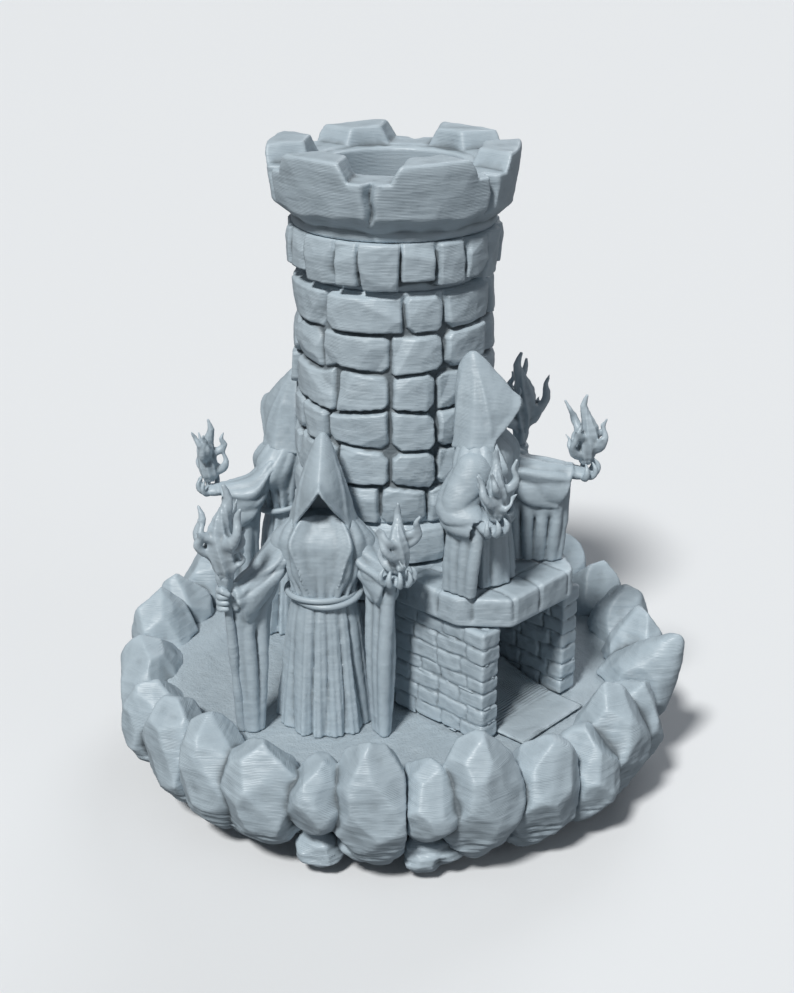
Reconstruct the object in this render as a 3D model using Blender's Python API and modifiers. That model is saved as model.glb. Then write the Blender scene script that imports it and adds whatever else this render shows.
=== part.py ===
"""Dice tower: a round stone keep in a boulder-rimmed tray, with four hooded figures round it.

Metres, +Z up. The origin is on the tower's axis at the underside of the tray, and the front is -Y.
Azimuths are in degrees from the front (-Y) towards +X. Figures are modelled facing -Y, with their
feet at the origin of their own parent empty. The tower, gate, ramp, baffles and gate figure lift
out of the tray together along +Z.
"""

import math
import random

import bmesh
import bpy
from mathutils import Matrix, Vector

MM = 0.001
GAP = 0.3 * MM

# Tray
FLOOR_Z = 34.0 * MM
FLOOR_RADIUS = 77.0 * MM
FOOT_RADIUS = 69.0 * MM
SOCKET_RADIUS = 30.4 * MM
SOCKET_DEPTH = 4.0 * MM
TRAY_SIDES = 32

# Boulder rim
RIM_LENGTHS = 8
RIM_SEED = 47
BOULDER_RING = 87.6 * MM
BOULDER_Z = 28.5 * MM
BOULDER_DEPTH = 27.0 * MM
LOW_RING = 83.0 * MM
LOW_Z = 11.5 * MM

# Tower
SHAFT_FOOT_RADIUS = 33.0 * MM
SHAFT_TOP_RADIUS = 31.0 * MM
BORE_RADIUS = 23.0 * MM
STONE_PROUD = 2.3 * MM
JOINT_WIDTH = 1.2 * MM
BED_JITTER = 1.6 * MM
SHAFT_SPLIT_Z = 101.0 * MM
SHAFT_TOP_Z = 179.0 * MM
CORBEL_TOP_Z = 195.5 * MM
CORBEL_RADIUS = 33.6 * MM
CROWN_FOOT_Z = 195.8 * MM
CROWN_SILL_Z = 214.5 * MM
CROWN_TOP_Z = 221.0 * MM
CROWN_RADIUS = 39.8 * MM
COURSES = 11
LOWER_COURSES = 5
CORBELS = 20
MERLONS = 6
EMBRASURE_AZIMUTH = -10.7

# Upright joints at the front of the shaft's courses, from the top course down (azimuth)
FRONT_JOINTS = (
    (-86.0, -41.0, 6.0, 30.0, 72.0),
    (-74.0, -46.0, -2.0, 28.0, 63.0),
    (-82.0, -35.0, -1.0, 25.0, 66.0),
    (-63.0, -40.0, -5.0, 24.0, 58.0),
    (-71.0, -34.0, -3.0, 26.0, 61.0),
    (-58.0, -44.0, -8.0, 20.0, 52.0),
    (-76.0, -38.0, 2.0, 31.0, 66.0),
)

# Gate and ramp
GATE_AZIMUTH = 47.5
GATE_FRONT = 62.0 * MM
PASSAGE_HALF = 17.6 * MM
WALL_THICKNESS = 7.6 * MM
PASSAGE_TOP_Z = 75.7 * MM
SLAB_TOP_Z = 86.0 * MM
SLAB_HALF = 28.2 * MM
SLAB_FRONT = 67.0 * MM
RAMP_HALF = 17.0 * MM
RAMP_TOE = 73.0 * MM
BAFFLE_THICKNESS = 2.4 * MM
BAFFLE_SLOPE = 40.0

# Figures: height of the whole robe, belt and hood above the feet
BELT_HEIGHT = 49.0 * MM
PLEATS = 9
ROBE_SIDES = 18
STAFF_RADIUS = 1.5 * MM
STAFF_LEAN = 0.05

# A drape: half its length at the top and at the toe, and how far the toe hangs ahead of the top (mm)
DRAPE = (8.0, 3.4, 4.0)
WIDE_DRAPE = (10.0, 7.0, 0.5)
STRAIGHT_DRAPE = (7.0, 4.4, 2.0)

# Robe section at each height: half width, depth to the front, depth to the back (mm)
ROBE_PROFILE = (
    (0.0, 15.5, 14.0, 9.6),
    (24.0, 13.0, 11.4, 8.9),
    (47.0, 11.0, 9.2, 8.0),
    (53.0, 11.3, 9.6, 8.2),
    (63.0, 13.2, 10.4, 8.8),
    (69.0, 14.2, 8.4, 8.4),
    (73.0, 9.4, 3.6, 7.4),
)

# Hood section at each height: middle (back is +), half width, depth to the front, depth to the back (mm)
HOOD_PROFILE = (
    (73.3, 0.0, 10.4, 7.8, 9.0),
    (80.0, 0.0, 8.7, 10.8, 9.2),
    (86.0, 0.3, 7.0, 11.4, 9.0),
    (92.0, 1.2, 5.1, 8.0, 8.0),
    (98.0, 2.6, 3.0, 3.9, 5.4),
    (102.0, 3.8, 0.7, 0.8, 1.0),
)

# Bell sleeve at a share of the way from shoulder to wrist: half width, rise above the arm, fall below it (mm)
SLEEVE_PROFILE = (
    (0.0, 7.4, 7.2, 8.0),
    (0.3, 7.2, 7.0, 13.0),
    (0.65, 6.6, 6.2, 16.0),
    (1.0, 4.8, 4.6, 11.0),
)

# Large boulders from the rear round by the left, the front and the right: azimuth, width, height (mm);
# the one as tall as a spur leans far out
SPUR_HEIGHT = 50
SPUR_LEAN = 21.0
BOULDERS = (
    (-179.0, 24, 40),
    (-166.0, 22, 44),
    (-153.0, 25, 41),
    (-140.0, 21, 38),
    (-127.0, 27, 47),
    (-113.0, 22, 42),
    (-102.0, 26, 44),
    (-85.0, 30, 38),
    (-69.0, 18, 36),
    (-55.0, 30, 38),
    (-41.5, 25, 40),
    (-28.5, 29, 40),
    (-15.7, 17, 38),
    (-4.0, 25, 46),
    (7.0, 18, 38),
    (17.5, 26, 46),
    (32.5, 26, 38),
    (45.0, 18, 34),
    (56.0, 24, 43),
    (66.0, 21, 38),
    (78.0, 21, 50),
    (89.0, 27, 46),
    (104.0, 26, 44),
    (119.0, 25, 44),
    (133.0, 26, 47),
    (147.0, 24, 41),
    (160.0, 25, 43),
)
LOW_BOULDERS = 2


def clear_scene():
    """Empty the scene so the part builds the same in any file."""
    for obj in list(bpy.data.objects):
        bpy.data.objects.remove(obj, do_unlink=True)
    for collection in list(bpy.data.collections):
        bpy.data.collections.remove(collection)


def collection_named(name, parent=None):
    """A new collection linked under the scene or under another collection."""
    made = bpy.data.collections.new(name)
    (parent or bpy.context.scene.collection).children.link(made)
    return made


def plastic(name, colour, roughness):
    """A printed plastic: colour is linear RGB."""
    made = bpy.data.materials.new(name)
    made.use_nodes = True
    shader = made.node_tree.nodes["Principled BSDF"]
    shader.inputs["Base Color"].default_value = (*colour, 1.0)
    shader.inputs["Roughness"].default_value = roughness
    shader.inputs["Metallic"].default_value = 0.0
    return made


class Kit:
    """Collections and finishes that every piece is filed under."""

    def __init__(self):
        self.parts = collection_named("dice_tower")
        self.cutters = collection_named("cutters")
        self.tray = plastic("tray_plastic", (0.36, 0.39, 0.42), 0.62)
        self.rock = plastic("rock_plastic", (0.38, 0.41, 0.44), 0.58)
        self.stone = plastic("stone_plastic", (0.40, 0.43, 0.46), 0.58)
        self.cloth = plastic("figure_plastic", (0.39, 0.42, 0.45), 0.55)
        self.flame = plastic("flame_plastic", (0.41, 0.44, 0.47), 0.52)

    def piece(self, name, bm, material, parent=None):
        """A part of the object, made from a bmesh."""
        mesh = bpy.data.meshes.new(name)
        bm.to_mesh(mesh)
        bm.free()
        mesh.materials.append(material)
        obj = bpy.data.objects.new(name, mesh)
        obj.parent = parent
        self.parts.objects.link(obj)
        return obj

    def cutter(self, name, bm, parent=None, group=None):
        """A shape that is only cut away, kept to or joined on."""
        mesh = bpy.data.meshes.new(name)
        bm.to_mesh(mesh)
        bm.free()
        obj = bpy.data.objects.new(name, mesh)
        obj.parent = parent
        obj.hide_render = True
        obj.display_type = "WIRE"
        (group or self.cutters).objects.link(obj)
        return obj

    def group(self, name):
        """A collection of shapes that are joined on together."""
        return collection_named(name, self.cutters)

    def empty(self, name, location, azimuth):
        """A parent that carries pieces to their place."""
        obj = bpy.data.objects.new(name, None)
        obj.empty_display_size = 10 * MM
        obj.location = location
        obj.rotation_euler = (0.0, 0.0, math.radians(azimuth))
        self.parts.objects.link(obj)
        return obj


def boolean(obj, operation, other):
    """A live Boolean against one object or against a whole collection."""
    modifier = obj.modifiers.new(operation.title(), "BOOLEAN")
    modifier.operation = operation
    modifier.solver = "EXACT"
    if isinstance(other, bpy.types.Collection):
        modifier.operand_type = "COLLECTION"
        modifier.collection = other
    else:
        modifier.object = other
    return modifier


def polar(radius, azimuth, z=0.0):
    """A point at a radius and an azimuth from the front."""
    angle = math.radians(azimuth)
    return Vector((radius * math.sin(angle), -radius * math.cos(angle), z))


def interpolate(rows, height):
    """Values of a profile at a height; the first column is the height."""
    if height <= rows[0][0]:
        return rows[0][1:]
    for low, high in zip(rows, rows[1:]):
        if height <= high[0]:
            share = (height - low[0]) / (high[0] - low[0])
            return tuple(a + (b - a) * share for a, b in zip(low[1:], high[1:]))
    return rows[-1][1:]


def through(points, share):
    """A smooth curve through points, read at a share of its length from 0 to 1."""
    spans = len(points) - 1
    at = min(share * spans, spans - 1e-6)
    index = int(at)
    t = at - index
    before = points[max(index - 1, 0)]
    start = points[index]
    end = points[index + 1]
    after = points[min(index + 2, spans)]
    return 0.5 * (
        2 * start
        + (end - before) * t
        + (2 * before - 5 * start + 4 * end - after) * t * t
        + (3 * start - before - 3 * end + after) * t ** 3
    )


def loft(rings, closed=False):
    """A skin over a run of like sections, capped at both ends or closed on itself."""
    bm = bmesh.new()
    loops = [[bm.verts.new(point) for point in ring] for ring in rings]
    count = len(loops[0])
    following = loops[1:] + loops[:1] if closed else loops[1:]
    for low, high in zip(loops, following):
        for i in range(count):
            j = (i + 1) % count
            bm.faces.new((low[i], low[j], high[j], high[i]))
    if not closed:
        bm.faces.new(loops[0][::-1])
        bm.faces.new(loops[-1])
    bmesh.ops.recalc_face_normals(bm, faces=bm.faces)
    return bm


def tube_rings(points, radii, steps, sides):
    """Round sections square to a smooth path, tapered by radii given along it."""
    rings = []
    side = (points[1] - points[0]).orthogonal()
    for step in range(steps + 1):
        share = step / steps
        centre = through(points, share)
        ahead = through(points, min(share + 0.02, 1.0)) - through(points, max(share - 0.02, 0.0))
        ahead.normalize()
        side = (side - ahead * side.dot(ahead)).normalized()
        other = ahead.cross(side)
        radius = through([Vector((r, 0, 0)) for r in radii], share).x
        rings.append([
            centre
            + side * radius * math.cos(2 * math.pi * i / sides)
            + other * radius * math.sin(2 * math.pi * i / sides)
            for i in range(sides)
        ])
    return rings


def cylinder(radius, low, high, sides, top_radius=None):
    """An upright cylinder or cone on the tower's axis."""
    bm = bmesh.new()
    bmesh.ops.create_cone(
        bm,
        cap_ends=True,
        segments=sides,
        radius1=radius,
        radius2=radius if top_radius is None else top_radius,
        depth=high - low,
        matrix=Matrix.Translation((0.0, 0.0, (low + high) / 2)),
    )
    return bm


def box(low, high, turn=None):
    """A box between two corners, turned about the tower's axis."""
    bm = bmesh.new()
    size = Vector(high) - Vector(low)
    middle = (Vector(high) + Vector(low)) / 2
    matrix = Matrix.Translation(middle) @ Matrix.Diagonal((*size, 1.0))
    bmesh.ops.create_cube(bm, size=1.0, matrix=(turn or Matrix.Identity(4)) @ matrix)
    return bm


def turned(profile):
    """A profile of radius and height for a Screw, running down its outer side."""
    bm = bmesh.new()
    verts = [bm.verts.new((radius, 0.0, z)) for radius, z in profile]
    for first, second in zip(verts, verts[1:]):
        bm.edges.new((first, second))
    return bm


def screw(obj, sides):
    """Turn an object's profile about Z."""
    modifier = obj.modifiers.new("Turn", "SCREW")
    modifier.steps = sides
    modifier.render_steps = sides
    modifier.use_merge_vertices = True
    modifier.merge_threshold = 0.00005
    modifier.use_smooth_shade = False
    return modifier


def boulder(width, depth, height, detail, rng):
    """A boulder: a round stone that narrows to its head, with flats struck off all round it."""
    flats = []
    for index in range(9):
        turn = math.radians(40.0 * index + rng.uniform(-16.0, 16.0))
        rise = math.radians(rng.uniform(10.0, 58.0) if index % 3 else rng.uniform(-40.0, -5.0))
        normal = Vector((
            math.cos(rise) * math.cos(turn), math.cos(rise) * math.sin(turn), math.sin(rise)
        ))
        flats.append((normal, rng.uniform(0.76, 0.90)))
    bm = bmesh.new()
    bmesh.ops.create_icosphere(bm, subdivisions=detail, radius=1.0)
    for vert in bm.verts:
        point = Vector([math.copysign(abs(value) ** 0.84, value) for value in vert.co])
        narrow = 1.0 - 0.24 * max(point.z, 0.0)
        point = Vector((point.x * narrow, point.y * narrow, point.z))
        for normal, reach in flats:
            point += normal * min(reach - normal.dot(point), 0.0)
        vert.co = Vector((point.x * width / 2, point.y * depth / 2, point.z * height / 2))
    bmesh.ops.dissolve_limit(bm, angle_limit=math.radians(4.0), verts=bm.verts, edges=bm.edges)
    bmesh.ops.recalc_face_normals(bm, faces=bm.faces)
    return bm


def upright_joints(course, above, rng):
    """Azimuths of one course's joints, some in line with those of the course above."""
    found = list(FRONT_JOINTS[course]) if course < len(FRONT_JOINTS) else [rng.uniform(-50.0, -30.0)]
    end = found[0] + 360.0
    while end - found[-1] > 62.0:
        found.append(found[-1] + rng.uniform(30.0, 46.0))
    if end - found[-1] > 42.0:
        found.append((found[-1] + end) / 2)
    lined = []
    for azimuth in found:
        near = [other for other in above if abs((azimuth - other + 180.0) % 360.0 - 180.0) < 5.0]
        lined.append(near[0] if near else azimuth % 360.0)
    return sorted(set(lined))


def strip_azimuths(joints, others):
    """The joints of a course and a line down the middle of each wide stone, which keeps its face round."""
    azimuths = list(joints)
    for start, end in zip(joints, joints[1:] + [joints[0] + 360.0]):
        if end - start > 31.0:
            middle = (start + end) / 2
            near = [other for other in others if abs((middle - other + 180.0) % 360.0 - 180.0) < 5.0]
            azimuths.append(near[0] if near else middle % 360.0)
    return sorted(set(azimuths))


def stone_drum(low, high, radius, top_radius, joints, rng):
    """A drum of rough courses: each course's stones stand proud of the joints between them."""
    bm = bmesh.new()
    every = [azimuth for course in joints for azimuth in course]
    strips = []
    for course in joints:
        strips.append(strip_azimuths(course, every))
        every += strips[-1]
    rows = []
    for bed in range(len(joints) + 1):
        share = bed / len(joints)
        at = radius + (top_radius - radius) * share
        jitter = BED_JITTER if 0 < bed < len(joints) else 0.0
        row = []
        for azimuth in sorted({azimuth for course in strips[max(bed - 1, 0):bed + 1] for azimuth in course}):
            z = low + (high - low) * share + rng.uniform(-1.0, 1.0) * jitter
            row.append((azimuth, bm.verts.new(polar(at, azimuth, z))))
        rows.append(row)
    stones = []
    for course, azimuths in enumerate(strips):
        turns = [row + [(azimuth + 360.0, vert) for azimuth, vert in row] for row in rows[course:course + 2]]
        for start, end in zip(azimuths, azimuths[1:] + [azimuths[0] + 360.0]):
            foot, head = [[vert for azimuth, vert in row if start <= azimuth <= end] for row in turns]
            face = bm.faces.new(foot + head[::-1])
            if start in joints[course] or not stones:
                stones.append([])
            stones[-1].append(face)
    bm.faces.new([vert for _, vert in rows[0]][::-1])
    bm.faces.new([vert for _, vert in rows[-1]])
    bmesh.ops.recalc_face_normals(bm, faces=bm.faces)
    for stone in stones:
        proud = STONE_PROUD - rng.uniform(0.0, 0.9) * MM
        bmesh.ops.inset_region(
            bm, faces=stone, thickness=JOINT_WIDTH, depth=proud, use_boundary=True, use_even_offset=True
        )
    bmesh.ops.triangulate(bm, faces=bm.faces)
    return bm


def bricks(bm, low, high, rows, axis, columns, joint, proud, rng):
    """Cut the upright faces of a block into staggered bricks that stand proud of their joints."""
    rise = (high - low) / rows
    for row in range(1, rows):
        bmesh.ops.bisect_plane(
            bm,
            geom=bm.verts[:] + bm.edges[:] + bm.faces[:],
            plane_co=(0.0, 0.0, low + rise * row + rng.uniform(-0.6, 0.6) * MM),
            plane_no=(0.0, 0.0, 1.0),
        )
    for row in range(rows):
        middle = low + rise * (row + 0.5)
        for column in columns:
            faces = [
                face for face in bm.faces
                if abs(face.normal.z) < 0.5
                and abs(face.calc_center_median().z - middle) < rise * 0.4
            ]
            geom = set(faces)
            for face in faces:
                geom.update(face.edges)
                geom.update(face.verts)
            shift = (row % 2 - 0.5) * (columns[1] - columns[0]) * 0.5 + rng.uniform(-1.0, 1.0) * MM
            bmesh.ops.bisect_plane(
                bm, geom=list(geom), plane_co=axis * (column + shift), plane_no=axis
            )
    faces = [face for face in bm.faces if abs(face.normal.z) < 0.5]
    bmesh.ops.inset_individual(bm, faces=faces, thickness=joint, depth=proud, use_even_offset=True)
    bmesh.ops.triangulate(bm, faces=bm.faces)
    return bm


def dish_profile(grow):
    """Half section of the tray, from the socket's floor over the flank to the foot."""
    return (
        (0.0, FLOOR_Z - SOCKET_DEPTH + grow),
        (SOCKET_RADIUS - grow, FLOOR_Z - SOCKET_DEPTH + grow),
        (SOCKET_RADIUS - grow, FLOOR_Z + grow),
        (FLOOR_RADIUS + grow, FLOOR_Z + grow),
        (FLOOR_RADIUS + 1.5 * MM + grow, FLOOR_Z - 4.0 * MM),
        (FLOOR_RADIUS - 1.0 * MM + grow, 13.0 * MM),
        (FOOT_RADIUS + 2.5 * MM + grow, 2.5 * MM),
        (FOOT_RADIUS + grow, -grow),
        (0.0, -grow),
    )


def build_tray(kit):
    """The dish, with the tower's socket sunk in its floor."""
    dish = kit.piece("tray_dish", turned(dish_profile(0.0)), kit.tray)
    screw(dish, TRAY_SIDES)


def rim_core(start, end):
    """The rock behind the boulders of one length of rim."""
    section = (
        (FLOOR_RADIUS - 4.0 * MM, 8.0 * MM),
        (LOW_RING + 3.0 * MM, 8.0 * MM),
        (BOULDER_RING + 2.0 * MM, 24.0 * MM),
        (BOULDER_RING + 1.0 * MM, 37.0 * MM),
        (FLOOR_RADIUS - 0.5 * MM, 36.0 * MM),
        (FLOOR_RADIUS - 4.0 * MM, 30.0 * MM),
    )
    steps = 5
    return loft([
        [polar(radius, start + (end - start) * step / steps, z) for radius, z in section]
        for step in range(steps + 1)
    ])


def rim_parting(index):
    """Azimuth at which the rim is parted before its boulder of this index: the crease between two stones."""
    azimuth, width, _ = BOULDERS[index % len(BOULDERS)]
    before, width_before, _ = BOULDERS[index % len(BOULDERS) - 1]
    gap = (azimuth - before) % 360.0
    return azimuth - gap * width / (width + width_before)


def build_rim(kit):
    """Eight lengths of boulders, each fitted to the dish's flank and parted in a crease from the next."""
    rng = random.Random(RIM_SEED)
    seat = kit.cutter("dish_seat", turned(dish_profile(GAP)))
    screw(seat, TRAY_SIDES)
    firsts = [round(index * len(BOULDERS) / RIM_LENGTHS) for index in range(RIM_LENGTHS + 1)]
    half_gap = math.degrees(GAP / 2 / BOULDER_RING)
    for index, (first, after) in enumerate(zip(firsts, firsts[1:])):
        group = kit.group(f"rim_boulders_{index + 1}")
        start = rim_parting(first)
        end = rim_parting(after)
        span = (end - start) % 360.0
        for number in range(first, after):
            azimuth, width, height = BOULDERS[number]
            bm = boulder(1.2 * width * MM, BOULDER_DEPTH, 1.06 * height * MM, 2, rng)
            stone = kit.cutter(f"boulder_{number + 1}", bm, group=group)
            stone.location = polar(BOULDER_RING, azimuth, BOULDER_Z + (height - 42) * 0.5 * MM)
            lean = math.radians(rng.uniform(4.0, 13.0) + SPUR_LEAN * (height >= SPUR_HEIGHT))
            stone.rotation_euler = (lean, rng.uniform(-0.12, 0.12), math.radians(azimuth))
        for number in range(LOW_BOULDERS):
            azimuth = start + span * (number + 0.5) / LOW_BOULDERS + rng.uniform(-3.0, 3.0)
            size = rng.uniform(17.0, 21.0) * MM
            bm = boulder(size, 0.9 * size, 0.8 * size, 1, rng)
            stone = kit.cutter(f"low_boulder_{index + 1}_{number + 1}", bm, group=group)
            stone.location = polar(LOW_RING, azimuth, LOW_Z + rng.uniform(-1.5, 1.5) * MM)
            stone.rotation_euler = (0.2, rng.uniform(-0.3, 0.3), math.radians(azimuth))
        rim = kit.piece(f"rim_{index + 1}", rim_core(start - 1.0, start + span + 1.0), kit.rock)
        boolean(rim, "UNION", group)
        ends = (start + half_gap, start + span - half_gap)
        wedge = loft([
            [Vector((0.0, 0.0, z))] + [polar(150.0 * MM, azimuth, z) for azimuth in ends]
            for z in (0.6 * MM, 80.0 * MM)
        ])
        boolean(rim, "INTERSECT", kit.cutter(f"rim_ends_{index + 1}", wedge))
        boolean(rim, "DIFFERENCE", seat)


def gate_matrix():
    """Turns a frame whose +X leaves the tower through the gate and whose +Y is on its left."""
    return Matrix.Rotation(math.radians(GATE_AZIMUTH - 90.0), 4, "Z")


def build_shaft(kit):
    """Two lengths of shaft and the corbel course, stacked and bored right through."""
    rng = random.Random(7)
    split_radius = SHAFT_FOOT_RADIUS + (SHAFT_TOP_RADIUS - SHAFT_FOOT_RADIUS) * (
        (SHAFT_SPLIT_Z - FLOOR_Z) / (SHAFT_TOP_Z - FLOOR_Z)
    )
    courses = []
    for course in range(COURSES):
        courses.insert(0, upright_joints(course, courses[0] if courses else [], rng))
    lower = kit.piece("shaft_lower", stone_drum(
        FLOOR_Z + GAP, SHAFT_SPLIT_Z, SHAFT_FOOT_RADIUS, split_radius, courses[:LOWER_COURSES], rng
    ), kit.stone)
    upper = kit.piece("shaft_upper", stone_drum(
        SHAFT_SPLIT_Z + GAP, SHAFT_TOP_Z, split_radius, SHAFT_TOP_RADIUS, courses[LOWER_COURSES:], rng
    ), kit.stone)
    uprights = [4.0 + 360.0 * index / CORBELS + rng.uniform(-3.6, 3.6) for index in range(CORBELS)]
    corbel = kit.piece("corbel_course", stone_drum(
        SHAFT_TOP_Z + GAP, CORBEL_TOP_Z, CORBEL_RADIUS - MM, CORBEL_RADIUS, [uprights], rng
    ), kit.stone)
    foot = kit.cutter("shaft_foot", cylinder(
        SOCKET_RADIUS - 0.4 * MM, FLOOR_Z - SOCKET_DEPTH + 0.4 * MM, FLOOR_Z + 8 * MM, 24
    ))
    boolean(lower, "UNION", foot)
    bore = kit.cutter("bore", cylinder(BORE_RADIUS, FLOOR_Z + 2 * GAP, CORBEL_TOP_Z + 9 * MM, 24))
    for obj in (lower, upper, corbel):
        boolean(obj, "DIFFERENCE", bore)
    doorway = kit.cutter("doorway", box(
        (8 * MM, -PASSAGE_HALF, FLOOR_Z + 2 * GAP), (50 * MM, PASSAGE_HALF, PASSAGE_TOP_Z), gate_matrix()
    ))
    boolean(lower, "DIFFERENCE", doorway)


def build_crown(kit):
    """The battlement: a turned ring cut by splayed embrasures, with a joint below each."""
    profile = (
        (BORE_RADIUS, CROWN_SILL_Z),
        (27.0 * MM, CROWN_SILL_Z),
        (28.6 * MM, CROWN_TOP_Z),
        (CROWN_RADIUS - 1.4 * MM, CROWN_TOP_Z),
        (CROWN_RADIUS, CROWN_TOP_Z - 1.6 * MM),
        (CROWN_RADIUS - 0.4 * MM, 204.0 * MM),
        (CROWN_RADIUS - 2.2 * MM, 201.4 * MM),
        (34.0 * MM, 199.4 * MM),
        (33.6 * MM, CROWN_FOOT_Z),
        (BORE_RADIUS, CROWN_FOOT_Z),
        (BORE_RADIUS, CROWN_SILL_Z),
    )
    crown = kit.piece("crown", turned(profile), kit.stone)
    screw(crown, 24)
    for index in range(MERLONS):
        azimuth = EMBRASURE_AZIMUTH + 360.0 / MERLONS * index
        turn = Matrix.Rotation(math.radians(azimuth - 90.0), 4, "Z")
        low = CROWN_SILL_Z + 0.5 * MM
        high = CROWN_TOP_Z + MM
        outline = ((-6.6, low), (6.6, low), (10.2, high), (-10.2, high))
        splay = loft([
            [turn @ Vector((x * MM, half * MM, z)) for half, z in outline] for x in (24.0, 46.0)
        ])
        boolean(crown, "DIFFERENCE", kit.cutter(f"embrasure_{index + 1}", splay))
        joint = loft([
            [
                turn @ Vector((radius * MM, half * MM, z * MM))
                for radius, half in ((37.9, 0.0), (42.0, -1.6), (42.0, 1.6))
            ]
            for z in (198.0, 224.0)
        ])
        boolean(crown, "DIFFERENCE", kit.cutter(f"crown_joint_{index + 1}", joint))


def build_baffles(kit):
    """Three sloping plates in the bore that turn the dice from side to side."""
    turn = gate_matrix()
    for name, z, side in (("lower", 107.0, 1), ("middle", 139.0, -1), ("upper", 171.0, 1)):
        slope = Matrix.Rotation(math.radians(-BAFFLE_SLOPE * side), 4, "Y")
        place = turn @ Matrix.Translation((10.0 * MM * side, 0.0, z * MM)) @ slope
        run = 30.0 * MM
        ends = sorted((-12.0 * MM * side / math.cos(math.radians(BAFFLE_SLOPE)), run * side))
        plate = kit.piece(f"baffle_{name}", box(
            (ends[0], -30 * MM, -BAFFLE_THICKNESS / 2), (ends[1], 30 * MM, BAFFLE_THICKNESS / 2), place
        ), kit.tray)
        inside = kit.cutter(f"baffle_{name}_outline", cylinder(
            BORE_RADIUS - GAP, (z - 40) * MM, (z + 40) * MM, 24
        ))
        boolean(plate, "INTERSECT", inside)


def build_gate(kit):
    """The square gate: two brick walls, a flagged slab over them, and the ramp between."""
    rng = random.Random(23)
    turn = gate_matrix()
    axis = turn.to_3x3() @ Vector((1.0, 0.0, 0.0))
    foot = FLOOR_Z + 2 * GAP
    head = PASSAGE_TOP_Z - GAP
    shaft = kit.cutter("shaft_clearance", cylinder(
        SHAFT_FOOT_RADIUS + STONE_PROUD + GAP, FLOOR_Z - GAP, SHAFT_TOP_Z, 36,
        SHAFT_TOP_RADIUS + STONE_PROUD + GAP,
    ))
    for name, side in (("left", -1), ("right", 1)):
        ends = sorted((PASSAGE_HALF * side, (PASSAGE_HALF + WALL_THICKNESS) * side))
        bm = box((16 * MM, ends[0], foot), (GATE_FRONT, ends[1], head), turn)
        columns = [(39.0 + 12.0 * step) * MM for step in range(2)]
        wall = kit.piece(f"gate_wall_{name}", bricks(
            bm, foot, head, 5, axis, columns, 0.6 * MM, 0.55 * MM, rng
        ), kit.stone)
        # The joints stand back from the bricks, so the wall keeps clear of the ramp and the slab.
        boolean(wall, "DIFFERENCE", shaft)
    outline = (
        (16.0, -SLAB_HALF / MM), (53.0, -SLAB_HALF / MM), (SLAB_FRONT / MM, -17.0),
        (SLAB_FRONT / MM + 0.8, 14.0), (55.0, 24.5), (16.0, 24.5),
    )
    bm = loft([
        [turn @ Vector((x * MM, y * MM, z)) for x, y in outline]
        for z in (PASSAGE_TOP_Z + GAP, SLAB_TOP_Z)
    ])
    across = turn.to_3x3() @ Vector((0.0, 1.0, 0.0))
    for normal, places in ((axis, (44.0, 56.0)), (across, (-16.0, -3.0, 11.0))):
        for place in places:
            bmesh.ops.bisect_plane(
                bm, geom=bm.verts[:] + bm.edges[:] + bm.faces[:],
                plane_co=normal * place * MM, plane_no=normal,
            )
    flags = [
        face for face in bm.faces
        if face.normal.z > -0.5 and face.normal.dot(axis) > -0.5 and face.calc_area() > 40 * MM ** 2
    ]
    bmesh.ops.inset_individual(bm, faces=flags, thickness=0.9 * MM, depth=0.6 * MM, use_even_offset=True)
    bmesh.ops.triangulate(bm, faces=bm.faces)
    boolean(kit.piece("gate_slab", bm, kit.stone), "DIFFERENCE", shaft)
    build_ramp(kit, turn)


def ramp_height(x):
    """Top of the ramp at a distance out from the tower's axis: it flattens towards its toe."""
    run = max(61.0 * MM - x, 0.0) / MM
    return FLOOR_Z + (2.0 + 0.0262 * run ** 1.69) * MM


def build_ramp(kit, turn):
    """The chute: a curved wedge that fills the foot of the bore and thins to a toe on the floor."""
    under = FLOOR_Z + 3 * GAP
    stations = [(-23.0 + 12.0 * step) * MM for step in range(8)] + [RAMP_TOE]
    rings = []
    for x in stations:
        top = ramp_height(x) if x < RAMP_TOE else FLOOR_Z + 1.7 * MM
        rings.append([
            turn @ Vector((x, y, z))
            for y, z in ((-RAMP_HALF, under), (RAMP_HALF, under), (RAMP_HALF, top), (-RAMP_HALF, top))
        ])
    ramp = kit.piece("exit_ramp", loft(rings), kit.tray)
    room = kit.cutter("ramp_room", cylinder(BORE_RADIUS - GAP, FLOOR_Z - MM, FLOOR_Z + 80 * MM, 24))
    mouth = kit.cutter("ramp_mouth", box(
        (0.0, -RAMP_HALF - MM, FLOOR_Z - 2 * MM), (90 * MM, RAMP_HALF + MM, FLOOR_Z + 90 * MM), turn
    ))
    boolean(room, "UNION", mouth)
    boolean(ramp, "INTERSECT", room)


def robe_section(height, grow):
    """One section of a robe: an oval, pleated below the belt."""
    half, front, back = (value * MM + grow for value in interpolate(ROBE_PROFILE, height / MM))
    pleat = 1.5 * MM * max(0.0, 1.0 - height / BELT_HEIGHT) ** 0.7
    ring = []
    for i in range(ROBE_SIDES):
        angle = 2 * math.pi * i / ROBE_SIDES
        fold = pleat * math.cos(PLEATS * angle) * (0.7 + 0.3 * math.sin(3 * angle))
        depth = front if math.sin(angle) < 0 else back
        ring.append(Vector((
            (half + fold) * math.cos(angle), (depth + fold) * math.sin(angle), height
        )))
    return ring


def robe_mesh(start, grow=0.0):
    """A robe from a starting height to the neck."""
    heights = [start] + [row[0] * MM for row in ROBE_PROFILE if row[0] * MM > start + MM]
    return loft([robe_section(height, grow) for height in heights])


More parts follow.
